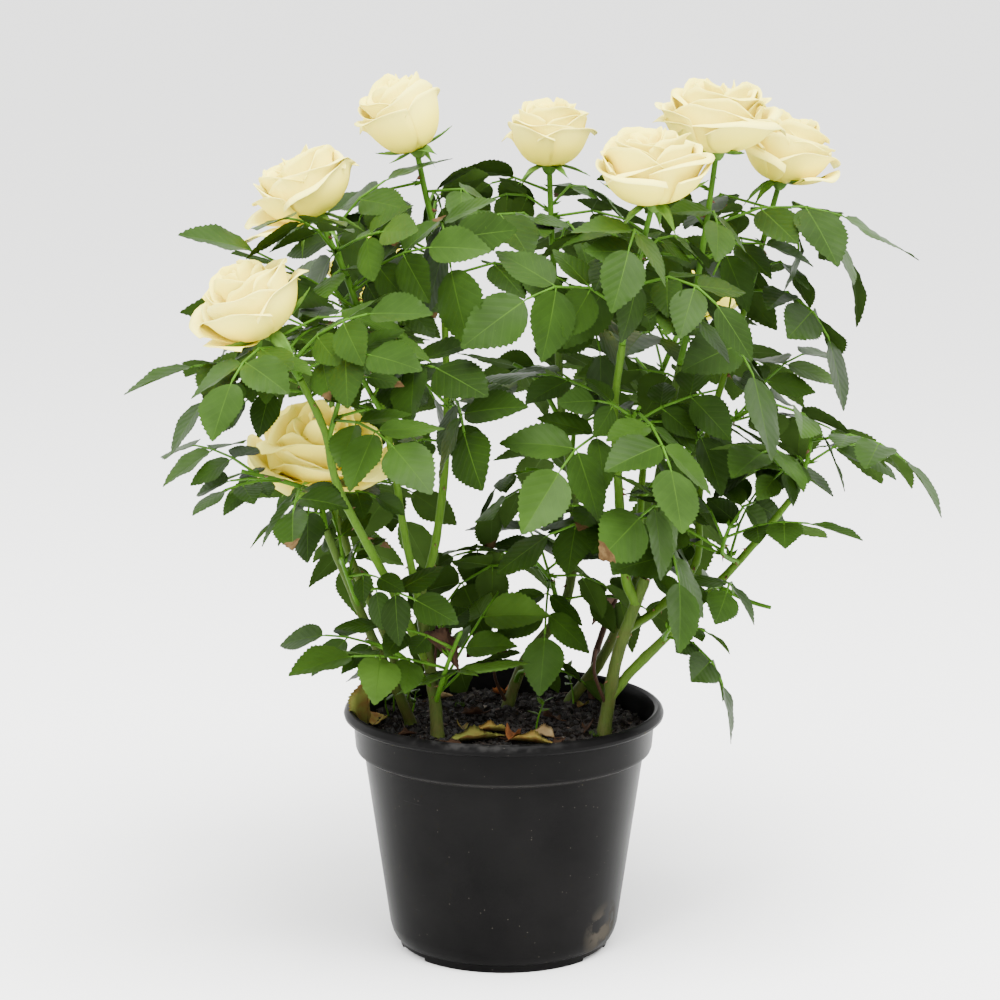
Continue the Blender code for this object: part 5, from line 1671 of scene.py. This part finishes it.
def dress_leaf(leaf_heap, twig_heap, chance, rings, kept, shade):
    """Stalk, stipules and leaflets of one compound leaf."""
    route = [ring[0] for ring in rings]
    twig_heap.add(*as_rod(route, [ring[3] for ring in rings], 6, 3), 0)
    heading = (route[1] - route[0]).normalized()
    for sign in (1, -1):
        add_stipule(twig_heap, route[0], heading, rings[0][1] * sign, rings[0][2])
    for place, leaflet in kept.items():
        if leaflet is None:
            continue
        aim, face, _, length, width = leaflet
        root = rings[-1 if place == "end" else place[0]][0]
        stalk = root + aim * LEAFLET_STALK
        twig_heap.add(*tube([root, stalk + aim * 0.002], [0.0006, 0.0005], 4), 0)
        across = aim.cross(face)
        verts = place_leaflet(stalk, aim, face, across, length - LEAFLET_STALK,
                              width * chance.uniform(0.88, 1.04), random_bend(chance))
        dry = chance.random() < BROWN_SHARE
        top = min(max(shade + chance.choice(SHADE_STEPS), 0), YOUNGEST)
        under = UNDER_1 + chance.randrange(2)
        picks = []
        for corners, kind in zip(LEAFLET_FACES, LEAFLET_SIDES):
            tip = dry and LEAFLET[list(corners), 1].mean() > BROWN_FROM
            picks.append(BROWN if tip else (top, under, VEIN)[kind])
        leaf_heap.add(verts, LEAFLET_FACES, picks, LEAFLET_PATTERN)


def side_of(name):
    """Which of the joined pieces a mass goes into."""
    if "back" in name:
        return "back"
    return "left" if "left" in name else "right"


def dress_masses():
    """Leaves and twigs of all masses, joined by side of the plant."""
    heaps = {}
    for index, name in enumerate(SHOOTS):
        chance = random.Random(DRESS_SEED + index)
        leaf_heap, twig_heap, names = heaps.setdefault(side_of(name), (Heap(), Heap(), []))
        names.append(name)
        route = shoot_routes[name]
        twig_heap.add(*as_rod(route, taper(*stem_radii(name), route), 10, 4), 0)
        for rings, kept in leaves[name]:
            dress_leaf(leaf_heap, twig_heap, chance, rings, kept, chance.choice(LEAF_SHADES))
    for side, (leaf_heap, twig_heap, names) in heaps.items():
        piece = leaf_heap.build(f"leaves_{side}", LEAF_FINISHES)
        piece.data.set_sharp_from_angle(angle=math.radians(CREASED_FROM))
        finish(piece, "foliage", *names)
        finish(twig_heap.build(f"twigs_{side}", [TWIG_GREEN]), "foliage")


dress_masses()

# %% [markdown]
# ## Blooms
# A garden rose has about twenty broad petals in rings: the outer ones open into a
# cup and roll their rims back, the inner ones stay wrapped round each other.  One
# petal is a curved sheet worked out from a belly, a rim and a curl; rings of such
# sheets are joined, and a Solidify modifier gives them their thickness.

# %% Petal material
def make_petal(name, rim, body, base):
    """Cream that deepens towards the petal's base; the pattern follows the petal."""
    made, tree, shader, _ = start_material(name, body, 0.65, 0.05)
    spot = add_node(tree, "ShaderNodeUVMap", uv_map="pattern").outputs["UV"]
    along = split_place(tree, spot)["Y"]
    colour = mix_colours(tree, map_range(tree, along, 0.0, 0.45), base, body)
    colour = mix_colours(tree, map_range(tree, along, 0.60, 1.0), colour, rim)
    tree.links.new(colour, shader.inputs["Base Color"])
    bump(tree, shader, stretched_noise(tree, spot, (26.0, 1.6, 1.0)), 0.0005, 0.4)
    shader.inputs["Subsurface Weight"].default_value = 0.20
    shader.inputs["Subsurface Radius"].default_value = (0.004, 0.003, 0.001)
    return made


PETALS = [
    make_petal("petal_outer", (0.96, 0.87, 0.18), (0.96, 0.81, 0.06), (0.78, 0.69, 0.035)),
    make_petal("petal_middle", (0.96, 0.86, 0.14), (0.96, 0.78, 0.045), (0.94, 0.68, 0.035)),
    make_petal("petal_inner", (0.96, 0.84, 0.11), (0.96, 0.73, 0.035), (0.94, 0.62, 0.03)),
]
SEPAL_GREEN = drifting("sepal", (0.055, 0.130, 0.016), (0.095, 0.185, 0.032), 120.0, 0.65, 0.05)

# %% One petal
PETAL_RINGS = (             # petals, belly, rim closed and open, height closed and open,
    (3, 0.92, 0.90, 0.95, 0.82, 0.58, 1.16, 0.13, 0),      # half angle, curl, colour
    (3, 0.84, 0.80, 0.83, 0.92, 0.72, 1.14, 0.11, 0),
    (3, 0.73, 0.68, 0.71, 0.99, 0.83, 1.13, 0.10, 1),
    (3, 0.60, 0.54, 0.58, 1.02, 0.91, 1.14, 0.09, 1),
    (3, 0.45, 0.40, 0.43, 1.03, 0.95, 1.16, 0.08, 1),
    (3, 0.30, 0.26, 0.28, 1.01, 0.96, 1.20, 0.06, 2),
    (2, 0.16, 0.12, 0.13, 0.97, 0.94, 1.60, 0.04, 2),
)
LOOSE_PETALS = {            # direction, reach and rise of petals that have come away
    "shoot_left_high": (((-1.0, -0.3, -0.4), 1.42, 0.16), ((-1.0, 0.5, 0.0), 1.22, 0.42)),
    "shoot_left_front": (((-0.5, -0.3, -0.9), 1.16, 0.32), ((-1.0, 0.2, 0.2), 1.14, 0.62)),
    "shoot_left_low": (((0.9, -0.5, 0.0), 1.14, 0.40), ((-0.9, -0.4, 0.0), 1.18, 0.55),
                       ((0.3, -1.0, 0.0), 1.04, 0.25)),
    "shoot_centre_right": (((1.0, -0.4, 0.0), 1.08, 0.52),),
    "shoot_right_high": (((0.5, -1.0, 0.0), 1.00, 0.52), ((-1.0, -0.3, 0.0), 1.02, 0.70)),
    "shoot_right_top": (((0.6, -0.3, -0.9), 1.18, 0.32), ((-1.0, -0.3, 0.0), 1.06, 0.62)),
}
PETAL_STANCE = {            # facing, radius and height beside those of the solid
    "shoot_top_left": ((-0.42, -0.06, 0.90), 1.00, 0.92),
    "shoot_left_high": ((-0.42, -0.02, 0.90), 1.00, 0.96),
    "shoot_left_front": ((-0.46, -0.20, 0.85), 0.96, 1.02),
    "shoot_left_low": ((0.00, -0.28, 0.96), 0.94, 1.35),
    "shoot_centre_right": ((-0.10, -0.12, 0.98), 0.98, 0.98),
    "shoot_right_high": ((0.00, -0.06, 1.00), 0.95, 0.92),
    "shoot_right_top": ((0.20, -0.08, 0.98), 0.94, 1.00),
}
BLOOM_SEED = 900
PETAL_COLUMNS = 13
PETAL_ROWS = 14
PETAL_SHEET = 0.00035       # thickness
ROLL_FROM = 0.80            # where the rim begins to roll back


def bezier(points, t):
    """A cubic curve through its first and last number."""
    a, b, c, d = points
    return a * (1 - t) ** 3 + 3 * b * t * (1 - t) ** 2 + 3 * c * t * t * (1 - t) + d * t ** 3


def petal(chance, belly, rim, rise, half_angle, curl, ruffle=1.0):
    """Points of a petal as reach, turn and lift, in rows from base to rim."""
    u = np.linspace(-1.0, 1.0, PETAL_COLUMNS)[None, :]
    v = np.linspace(0.0, 1.0, PETAL_ROWS)[:, None]
    drop = chance.uniform(0.04, 0.13) * (1 + 1.2 * max(0.0, ruffle - 2.0))
    t = v * (1 - drop * np.abs(u) ** (3.6 if ruffle < 2.0 else 2.2))
    reach = bezier((0.08, 0.70 * belly, 0.99 * belly, rim), t)
    lift = bezier((0.0, -0.03, 0.50 * rise, rise), t)
    phase = chance.uniform(0, 6.3)
    rolled = np.clip((v - ROLL_FROM) / (1 - ROLL_FROM), 0, 1) ** 1.5
    corners = np.clip((np.abs(u) - 0.5) / 0.5, 0, 1) ** 1.6 * np.clip((v - 0.45) / 0.55, 0, 1)
    folded = curl * (1 + 0.5 * np.sin(u * 2.1 + phase))
    reach = reach + folded * rolled + curl * chance.uniform(0.0, 0.6) * corners
    lift = lift - folded * 0.85 * rolled ** 2.2 - curl * 0.35 * corners
    edge = np.clip((v - 0.45) / 0.55, 0, 1) ** 1.6
    wave = chance.uniform(0.018, 0.040) * ruffle
    reach = reach + wave * edge * np.sin(u * 3.6 + phase) + 0.065 * u * t
    lift = lift + wave * edge * np.sin(u * 2.7 + phase * 1.7)
    lift = lift + wave * 0.35 * edge ** 2 * np.sin(u * 8.0 + phase * 2.3)
    spread = 0.40 + 0.60 * np.sin(np.clip(v / 0.58, 0, 1) * math.pi / 2)
    pattern = np.stack([np.broadcast_to(u * 0.5 + 0.5, t.shape), np.broadcast_to(v, t.shape)], -1)
    return reach, u * half_angle * spread, lift, pattern.reshape(-1, 2)


SHEET_FACES = [(r * PETAL_COLUMNS + c, r * PETAL_COLUMNS + c + 1,
                (r + 1) * PETAL_COLUMNS + c + 1, (r + 1) * PETAL_COLUMNS + c)
               for r in range(PETAL_ROWS - 1) for c in range(PETAL_COLUMNS - 1)]

# %% One sepal
SEPAL_WIDTH = 0.24          # of its length
SEPAL_TAPER = 0.9           # how quickly it narrows to its tip
SEPAL_STANCES = (           # lean towards the bloom, and droop: hugging to hanging
    (-0.05, -0.42), (-0.10, -0.25), (-0.20, 0.10), (-0.50, 0.35), (-0.90, 0.20))


def add_sepal(heap, chance, root, out, facing, length, stances):
    """A long pointed green lobe that lies along, stands off or hangs from the bloom."""
    lean, droop = chance.choice(stances)
    aim = (out + facing * lean).normalized()
    face = (facing - aim * aim.dot(facing)).normalized()
    droop += chance.uniform(-0.10, 0.10)
    verts = place_leaflet(root, aim, face, aim.cross(face), length, length * SEPAL_WIDTH,
                          (droop, 0.6, chance.gauss(0, 0.3), 0.01, 0.0))
    axis = np.array(root)[None, :] + LEAFLET[:, 1:2] * length * np.array(aim)[None, :]
    sideways = (verts - axis) @ np.array(aim.cross(face))
    narrow = 1.7 * (1 - LEAFLET[:, 1]) ** SEPAL_TAPER - 1
    verts = verts + (sideways * narrow)[:, None] * np.array(aim.cross(face))[None, :]
    heap.add(verts, LEAFLET_FACES, 0)

# %% One bloom
def add_bloom(heaps, chance, name, base, facing, radius, height, opened):
    """Rings of petals, five sepals and the green cup under them."""
    petal_heap, green_heap = heaps
    side = facing.orthogonal().normalized()
    ragged = 3.0 if opened > 0.9 else 1.0
    other = facing.cross(side)
    frame_axes = np.array([side, other, facing])

    def lay(shape, heading, shade):
        reach, turn, lift, pattern = shape
        turn = turn + heading
        local = np.stack([reach * radius * np.cos(turn), reach * radius * np.sin(turn),
                          lift * height + 0 * reach], -1).reshape(-1, 3)
        petal_heap.add(np.array(base) + local @ frame_axes, SHEET_FACES, shade, pattern)

    for ring, sizes in enumerate(PETAL_RINGS):
        count, belly, shut, wide, shut_rise, wide_rise, half, curl, shade = sizes
        start = ring * 1.3 + chance.uniform(0, 1)
        for k in range(count):
            rim = shut + (wide - shut) * opened + chance.uniform(-0.03, 0.03) * belly * ragged
            rise = shut_rise + (wide_rise - shut_rise) * opened + chance.uniform(-0.07, 0.05) * ragged
            shape = petal(chance, belly, rim, rise, half * chance.uniform(0.9, 1.1),
                          curl * chance.uniform(0.5, 1.3) * (0.7 + 0.5 * opened), 0.8 + opened * ragged)
            lay(shape, start + 2 * math.pi * k / count + chance.uniform(-0.12, 0.12), shade)
    for direction, reach, rise in LOOSE_PETALS.get(name, ()):
        away = Vector(direction)
        heading = math.atan2(away.dot(other), away.dot(side))
        lay(petal(chance, 0.92, reach, rise, 0.75, 0.06), heading, 0)
    for k in range(5):
        turn = 2 * math.pi * (2 * k + 1) / BLOOM_SIDES
        out = side * math.cos(turn) + other * math.sin(turn)
        add_sepal(green_heap, chance, base + out * radius * 0.10, out, facing,
                  radius * SEPAL_REACH * chance.uniform(0.95, 1.25),
                  SEPAL_STANCES if opened < 0.9 else SEPAL_STANCES[3:])
    cup = [base - facing * 0.0060, base - facing * 0.0040, base - facing * 0.0005,
           base + facing * height * 0.03, base + facing * height * 0.07]
    green_heap.add(*tube(cup, [0.0020, 0.0038, 0.0052, radius * 0.24, radius * 0.36], 14), 0)


def make_blooms():
    """All blooms: petals and green parts, each kind joined."""
    heaps = Heap(), Heap()
    for index, name in enumerate(SHOOTS):
        if name not in BLOOMS:
            continue
        facing, radius, height, opened = BLOOMS[name]
        facing, wider, taller = PETAL_STANCE.get(name, (facing, 1.0, 1.0))
        facing = Vector(facing).normalized()
        base = shoot_routes[name][-1] - facing * BLOOM_SEAT
        add_bloom(heaps, random.Random(BLOOM_SEED + index), name, base, facing,
                  radius * wider, height * taller, opened)
    petals = heaps[0].build("petals", PETALS)
    modify(petals, "SOLIDIFY", thickness=PETAL_SHEET, offset=0.0)
    petals.data.shade_smooth()
    finish(petals, "foliage")
    finish(heaps[1].build("sepals", [SEPAL_GREEN]), "foliage")


make_blooms()

# %% [markdown]
# ## Dead leaves, cut ends and seedlings
# A pot that has stood for a season holds a few fallen leaflets, curled and brown,
# shrivelled ones among the canes, cut cane ends, tufts of moss and some thin new
# growth.  The leaflets are the same array, bent more; the rest is short rods, and
# small spikes for the moss.

# %% Dry colours
DRY_FINISHES = [
    drifting("dry_yellow", (0.200, 0.170, 0.040), (0.180, 0.090, 0.024), 90.0, 0.8, 0.05),
    drifting("dry_tan", (0.240, 0.180, 0.090), (0.160, 0.105, 0.048), 90.0, 0.8, 0.05),
    drifting("dry_orange", (0.190, 0.066, 0.018), (0.110, 0.040, 0.013), 90.0, 0.8, 0.05),
    drifting("dry_olive", (0.110, 0.120, 0.026), (0.110, 0.060, 0.018), 90.0, 0.75, 0.05),
    drifting("dry_brown", (0.040, 0.020, 0.010), (0.022, 0.011, 0.006), 160.0, 0.8, 0.1),
]
YELLOW, TAN, ORANGE, OLIVE, DARK = range(5)

# %% Fallen leaves
LITTER = (                  # dead leaves on the peat: x, y, turn, length
    (-0.016, -0.040, 12.0, 0.036),
    (0.018, -0.046, -14.0, 0.030),
    (-0.079, 0.008, 78.0, 0.026),
)
LITTER_WIDTH = 0.50         # of a dead leaf's length
LITTER_ROLL = 0.8
LITTER_HEIGHT = 0.0012      # of its lowest point over the peat
LITTER_SEED = 31
MORE_LITTER = (             # x, y, turn, length, colour, and how far it is rolled up
    (-0.026, -0.014, 100.0, 0.015, OLIVE, 1.2),
    (-0.006, -0.024, 20.0, 0.024, YELLOW, 1.0),
    (0.006, -0.040, 70.0, 0.018, ORANGE, 1.7),
    (0.024, -0.030, 150.0, 0.016, TAN, 1.2),
    (-0.030, -0.056, 200.0, 0.013, DARK, 1.0),
    (0.034, -0.058, 40.0, 0.012, DARK, 1.3),
    (0.052, -0.010, 80.0, 0.014, DARK, 1.3),
    (-0.060, -0.030, 10.0, 0.013, DARK, 1.2),
    (-0.020, 0.020, 220.0, 0.018, DARK, 1.1),
    (0.030, 0.010, 130.0, 0.016, DARK, 1.0),
    (0.000, 0.066, 300.0, 0.020, ORANGE, 1.1),
    (-0.040, 0.060, 30.0, 0.017, TAN, 1.2),
    (0.050, 0.040, 250.0, 0.015, OLIVE, 0.9),
)
LITTER_COLOURS = (OLIVE, YELLOW, YELLOW)


def dry_picks(colour):
    """A dry leaflet's colour for its blade, and a dark one for its midrib."""
    return [colour if k < 2 else DARK for k in LEAFLET_SIDES]


def lay_dry_leaf(heap, chance, x, y, degrees, length, colour, rolled):
    """A curled dead leaflet that lies on the crumbs."""
    aim = around(1.0, math.radians(degrees), chance.uniform(-0.05, 0.12)).normalized()
    side = UP.cross(aim).normalized()
    face = (aim.cross(side) + side * chance.uniform(-0.25, 0.25)).normalized()
    bend = (chance.uniform(-0.30, 0.10) * rolled, 0.55 * rolled, chance.gauss(0, 0.5),
            0.05 * rolled, 0.20 * rolled)
    root = Vector((x, y, 0.0)) - aim * length / 2
    verts = place_leaflet(root, aim, face, side, length, length * LITTER_WIDTH, bend)
    lift = SOIL_Z + LITTER_HEIGHT - verts[:, 2].min()
    verts[:, 2] += lift
    heap.add(verts, LEAFLET_FACES, dry_picks(colour))
    foot = root + UP * lift
    heap.add(*tube([foot - aim * 0.006 + UP * 0.0008, foot, foot + aim * 0.004],
                   [0.0004, 0.0005, 0.0003], 4), DARK)


def make_litter():
    """Each fallen leaf that has a solid, and the small ones that have none."""
    chance = random.Random(LITTER_SEED)
    for i, (x, y, turn, length) in enumerate(LITTER):
        heap = Heap()
        lay_dry_leaf(heap, chance, x, y, turn, length, LITTER_COLOURS[i], LITTER_ROLL)
        piece = heap.build(f"fallen_leaf_{i + 1}", DRY_FINISHES)
        finish(piece, "dead_leaf", f"dead_leaf_{i + 1}")
    heap = Heap()
    for x, y, turn, length, colour, rolled in MORE_LITTER:
        lay_dry_leaf(heap, chance, x, y, turn, length, colour, rolled)
    return heap


litter = make_litter()

# %% Dry leaves among the canes, and one beside the wall of the pot
HANGING_SEED = 17
HANGING_WIDTH = 0.42        # of the length
HANGING_LEAVES = (          # root, aim, length, colour
    ((-0.0500, -0.0285, 0.2050), (0.55, -0.40, -0.35), 0.034, DARK),
    ((0.0020, -0.0100, 0.1900), (-0.80, 0.10, -0.15), 0.026, DARK),
    ((0.0130, -0.0060, 0.1880), (0.70, -0.20, -0.35), 0.022, ORANGE),
    ((0.0735, 0.0770, 0.2060), (-0.45, -0.30, -0.60), 0.026, DARK),
    ((-0.0850, -0.0080, 0.1430), (0.06, 0.12, 1.00), 0.030, OLIVE),
)


def hang_dry_leaves(heap):
    """Tightly curled leaflets, each in its own place."""
    chance = random.Random(HANGING_SEED)
    for root, aim, length, colour in HANGING_LEAVES:
        bend = (chance.uniform(-0.2, 0.4), 1.3, chance.gauss(0, 0.9), 0.07, 0.35)
        verts = level_leaflet(root, aim, length, length * HANGING_WIDTH, bend)
        heap.add(verts, LEAFLET_FACES, dry_picks(colour))


hang_dry_leaves(litter)
finish(litter.build("dry_leaves", DRY_FINISHES), "dead_leaf")

# %% Cut ends and dead twigs
CUT_ENDS = ("cane_front", "cane_right_front", "dead_cane")
CUT_SLOPE = 0.5
DEAD_TWIGS = (              # route, radius at foot and tip
    (((-0.0435, -0.0250, 0.1760), (-0.0415, -0.0290, 0.2080), (-0.0440, -0.0300, 0.2300)), 0.0011, 0.0006),
    (((0.0640, -0.0150, 0.1560), (0.0560, -0.0240, 0.1800), (0.0570, -0.0280, 0.1960)), 0.0013, 0.0009),
    (((0.0020, 0.0460, 0.1420), (-0.0060, 0.0380, 0.1640), (-0.0040, 0.0340, 0.1900)), 0.0012, 0.0007),
)


def make_cut_ends():
    """Pale sloping cuts on the ends of pruned canes."""
    heap = Heap()
    for name in CUT_ENDS:
        route = plant.routes[name]
        heading = (route[-1] - route[-2]).normalized()
        radius = plant.radii[name][1]
        slope = (heading + heading.orthogonal().normalized() * CUT_SLOPE).normalized()
        tip = route[-1] + heading * 0.0003
        heap.add(*tube([tip - slope * 0.0004, tip, tip + slope * 0.0005],
                       [radius * 1.06, radius * 1.10, radius * 0.92], 14), 0)
    return heap.build("cut_ends", [CUT_WOOD])


finish(make_cut_ends(), "dead_wood")
twigs = Heap()
for bends, r0, r1 in DEAD_TWIGS:
    route = smooth_route(bends, 6)
    twigs.add(*tube(route, taper(r0, r1, route), 8), 0)
finish(twigs.build("dead_twigs", [DEAD_BARK]), "dead_wood")

# %% New growth and moss on the peat
SEEDLINGS = (               # foot, lean, height
    ((-0.0700, 0.0350), (0.15, -0.25), 0.026),
    ((-0.0640, 0.0300), (0.30, -0.20), 0.022),
    ((-0.0730, 0.0250), (-0.05, -0.30), 0.019),
    ((-0.0590, 0.0230), (0.20, 0.10), 0.016),
    ((0.0200, -0.0100), (0.25, -0.20), 0.020),
    ((0.0450, 0.0500), (-0.20, 0.20), 0.024),
)
MOSS_PLACES = ((0.0580, -0.0200, 0.0050), (0.0640, -0.0130, 0.0035), (-0.0300, 0.0500, 0.0050))
MOSS_BLADES = 260
MOSS_HEIGHT = (0.0014, 0.0032)
MOSS_LEAN = 0.0006
GROWTH_SEED = 12
YOUNG_LEAF_HEIGHT = 0.165   # where its stalk leaves the front cane
YOUNG_STALK = ((0.0080, -0.0100, 0.0130), (0.0140, -0.0125, 0.0185))    # its bends, from there
YOUNG_LEAFLETS = (          # aim, length
    ((-0.95, -0.05, -0.22), 0.040), ((0.97, -0.02, 0.20), 0.045), ((0.55, -0.70, 0.10), 0.022))


def make_new_growth():
    """Thin stalks with a few small leaflets, and tufts of moss."""
    chance = random.Random(GROWTH_SEED)
    leaf_heap, twig_heap = Heap(), Heap()
    for (x, y), (lean_x, lean_y), tall in SEEDLINGS:
        foot = Vector((x, y, SOIL_Z - 0.001))
        tip = foot + Vector((lean_x * tall, lean_y * tall, tall))
        middle = foot.lerp(tip, 0.5) + Vector((lean_y, -lean_x, 0.0)) * tall * 0.25
        route = smooth_route((foot, middle, tip), 5)
        twig_heap.add(*tube(route, taper(0.0007, 0.0004, route), 6), 0)
        for k in range(5):
            turn = k * math.radians(DIVERGENCE) + x * 300
            aim = around(1.0, turn, chance.uniform(0.1, 0.8))
            length = tall * chance.uniform(0.28, 0.42)
            verts = level_leaflet(route[-1 - k], aim, length, length * 0.6, random_bend(chance))
            leaf_heap.add(verts, LEAFLET_FACES, YOUNGEST, LEAFLET_PATTERN)
    foot = min(plant.routes["cane_front"], key=lambda p: abs(p.z - YOUNG_LEAF_HEIGHT))
    stalk = smooth_route((foot, *(foot + Vector(bend) for bend in YOUNG_STALK)), 5)
    twig_heap.add(*tube(stalk, taper(0.0009, 0.0006, stalk), 6), 0)
    for aim, length in YOUNG_LEAFLETS:
        verts = level_leaflet(stalk[-1], aim, length, length * 0.36, random_bend(chance),
                              Vector((0.0, -0.15, 0.0)))
        leaf_heap.add(verts, LEAFLET_FACES, YOUNGEST, LEAFLET_PATTERN)
    for x, y, reach in MOSS_PLACES:
        for _ in range(MOSS_BLADES):
            turn = chance.uniform(0, 2 * math.pi)
            away = reach * math.sqrt(chance.random())
            foot = np.array((x + away * math.cos(turn), y + away * math.sin(turn), SOIL_Z - 0.0005))
            tip = foot + np.array((chance.gauss(0, MOSS_LEAN), chance.gauss(0, MOSS_LEAN),
                                   chance.uniform(*MOSS_HEIGHT)))
            side = np.array((math.cos(turn), math.sin(turn), 0.0)) * 0.00025
            back = np.array((-math.sin(turn), math.cos(turn), 0.0)) * 0.0002
            leaf_heap.add([foot - side, foot + side, foot + back, tip],
                          [(0, 1, 3), (1, 2, 3), (2, 0, 3), (0, 2, 1)], YOUNGEST, np.full((4, 2), 0.5))
    finish(leaf_heap.build("new_growth", LEAF_FINISHES), "foliage")
    finish(twig_heap.build("new_growth_stalks", [TWIG_GREEN]), "foliage")


make_new_growth()
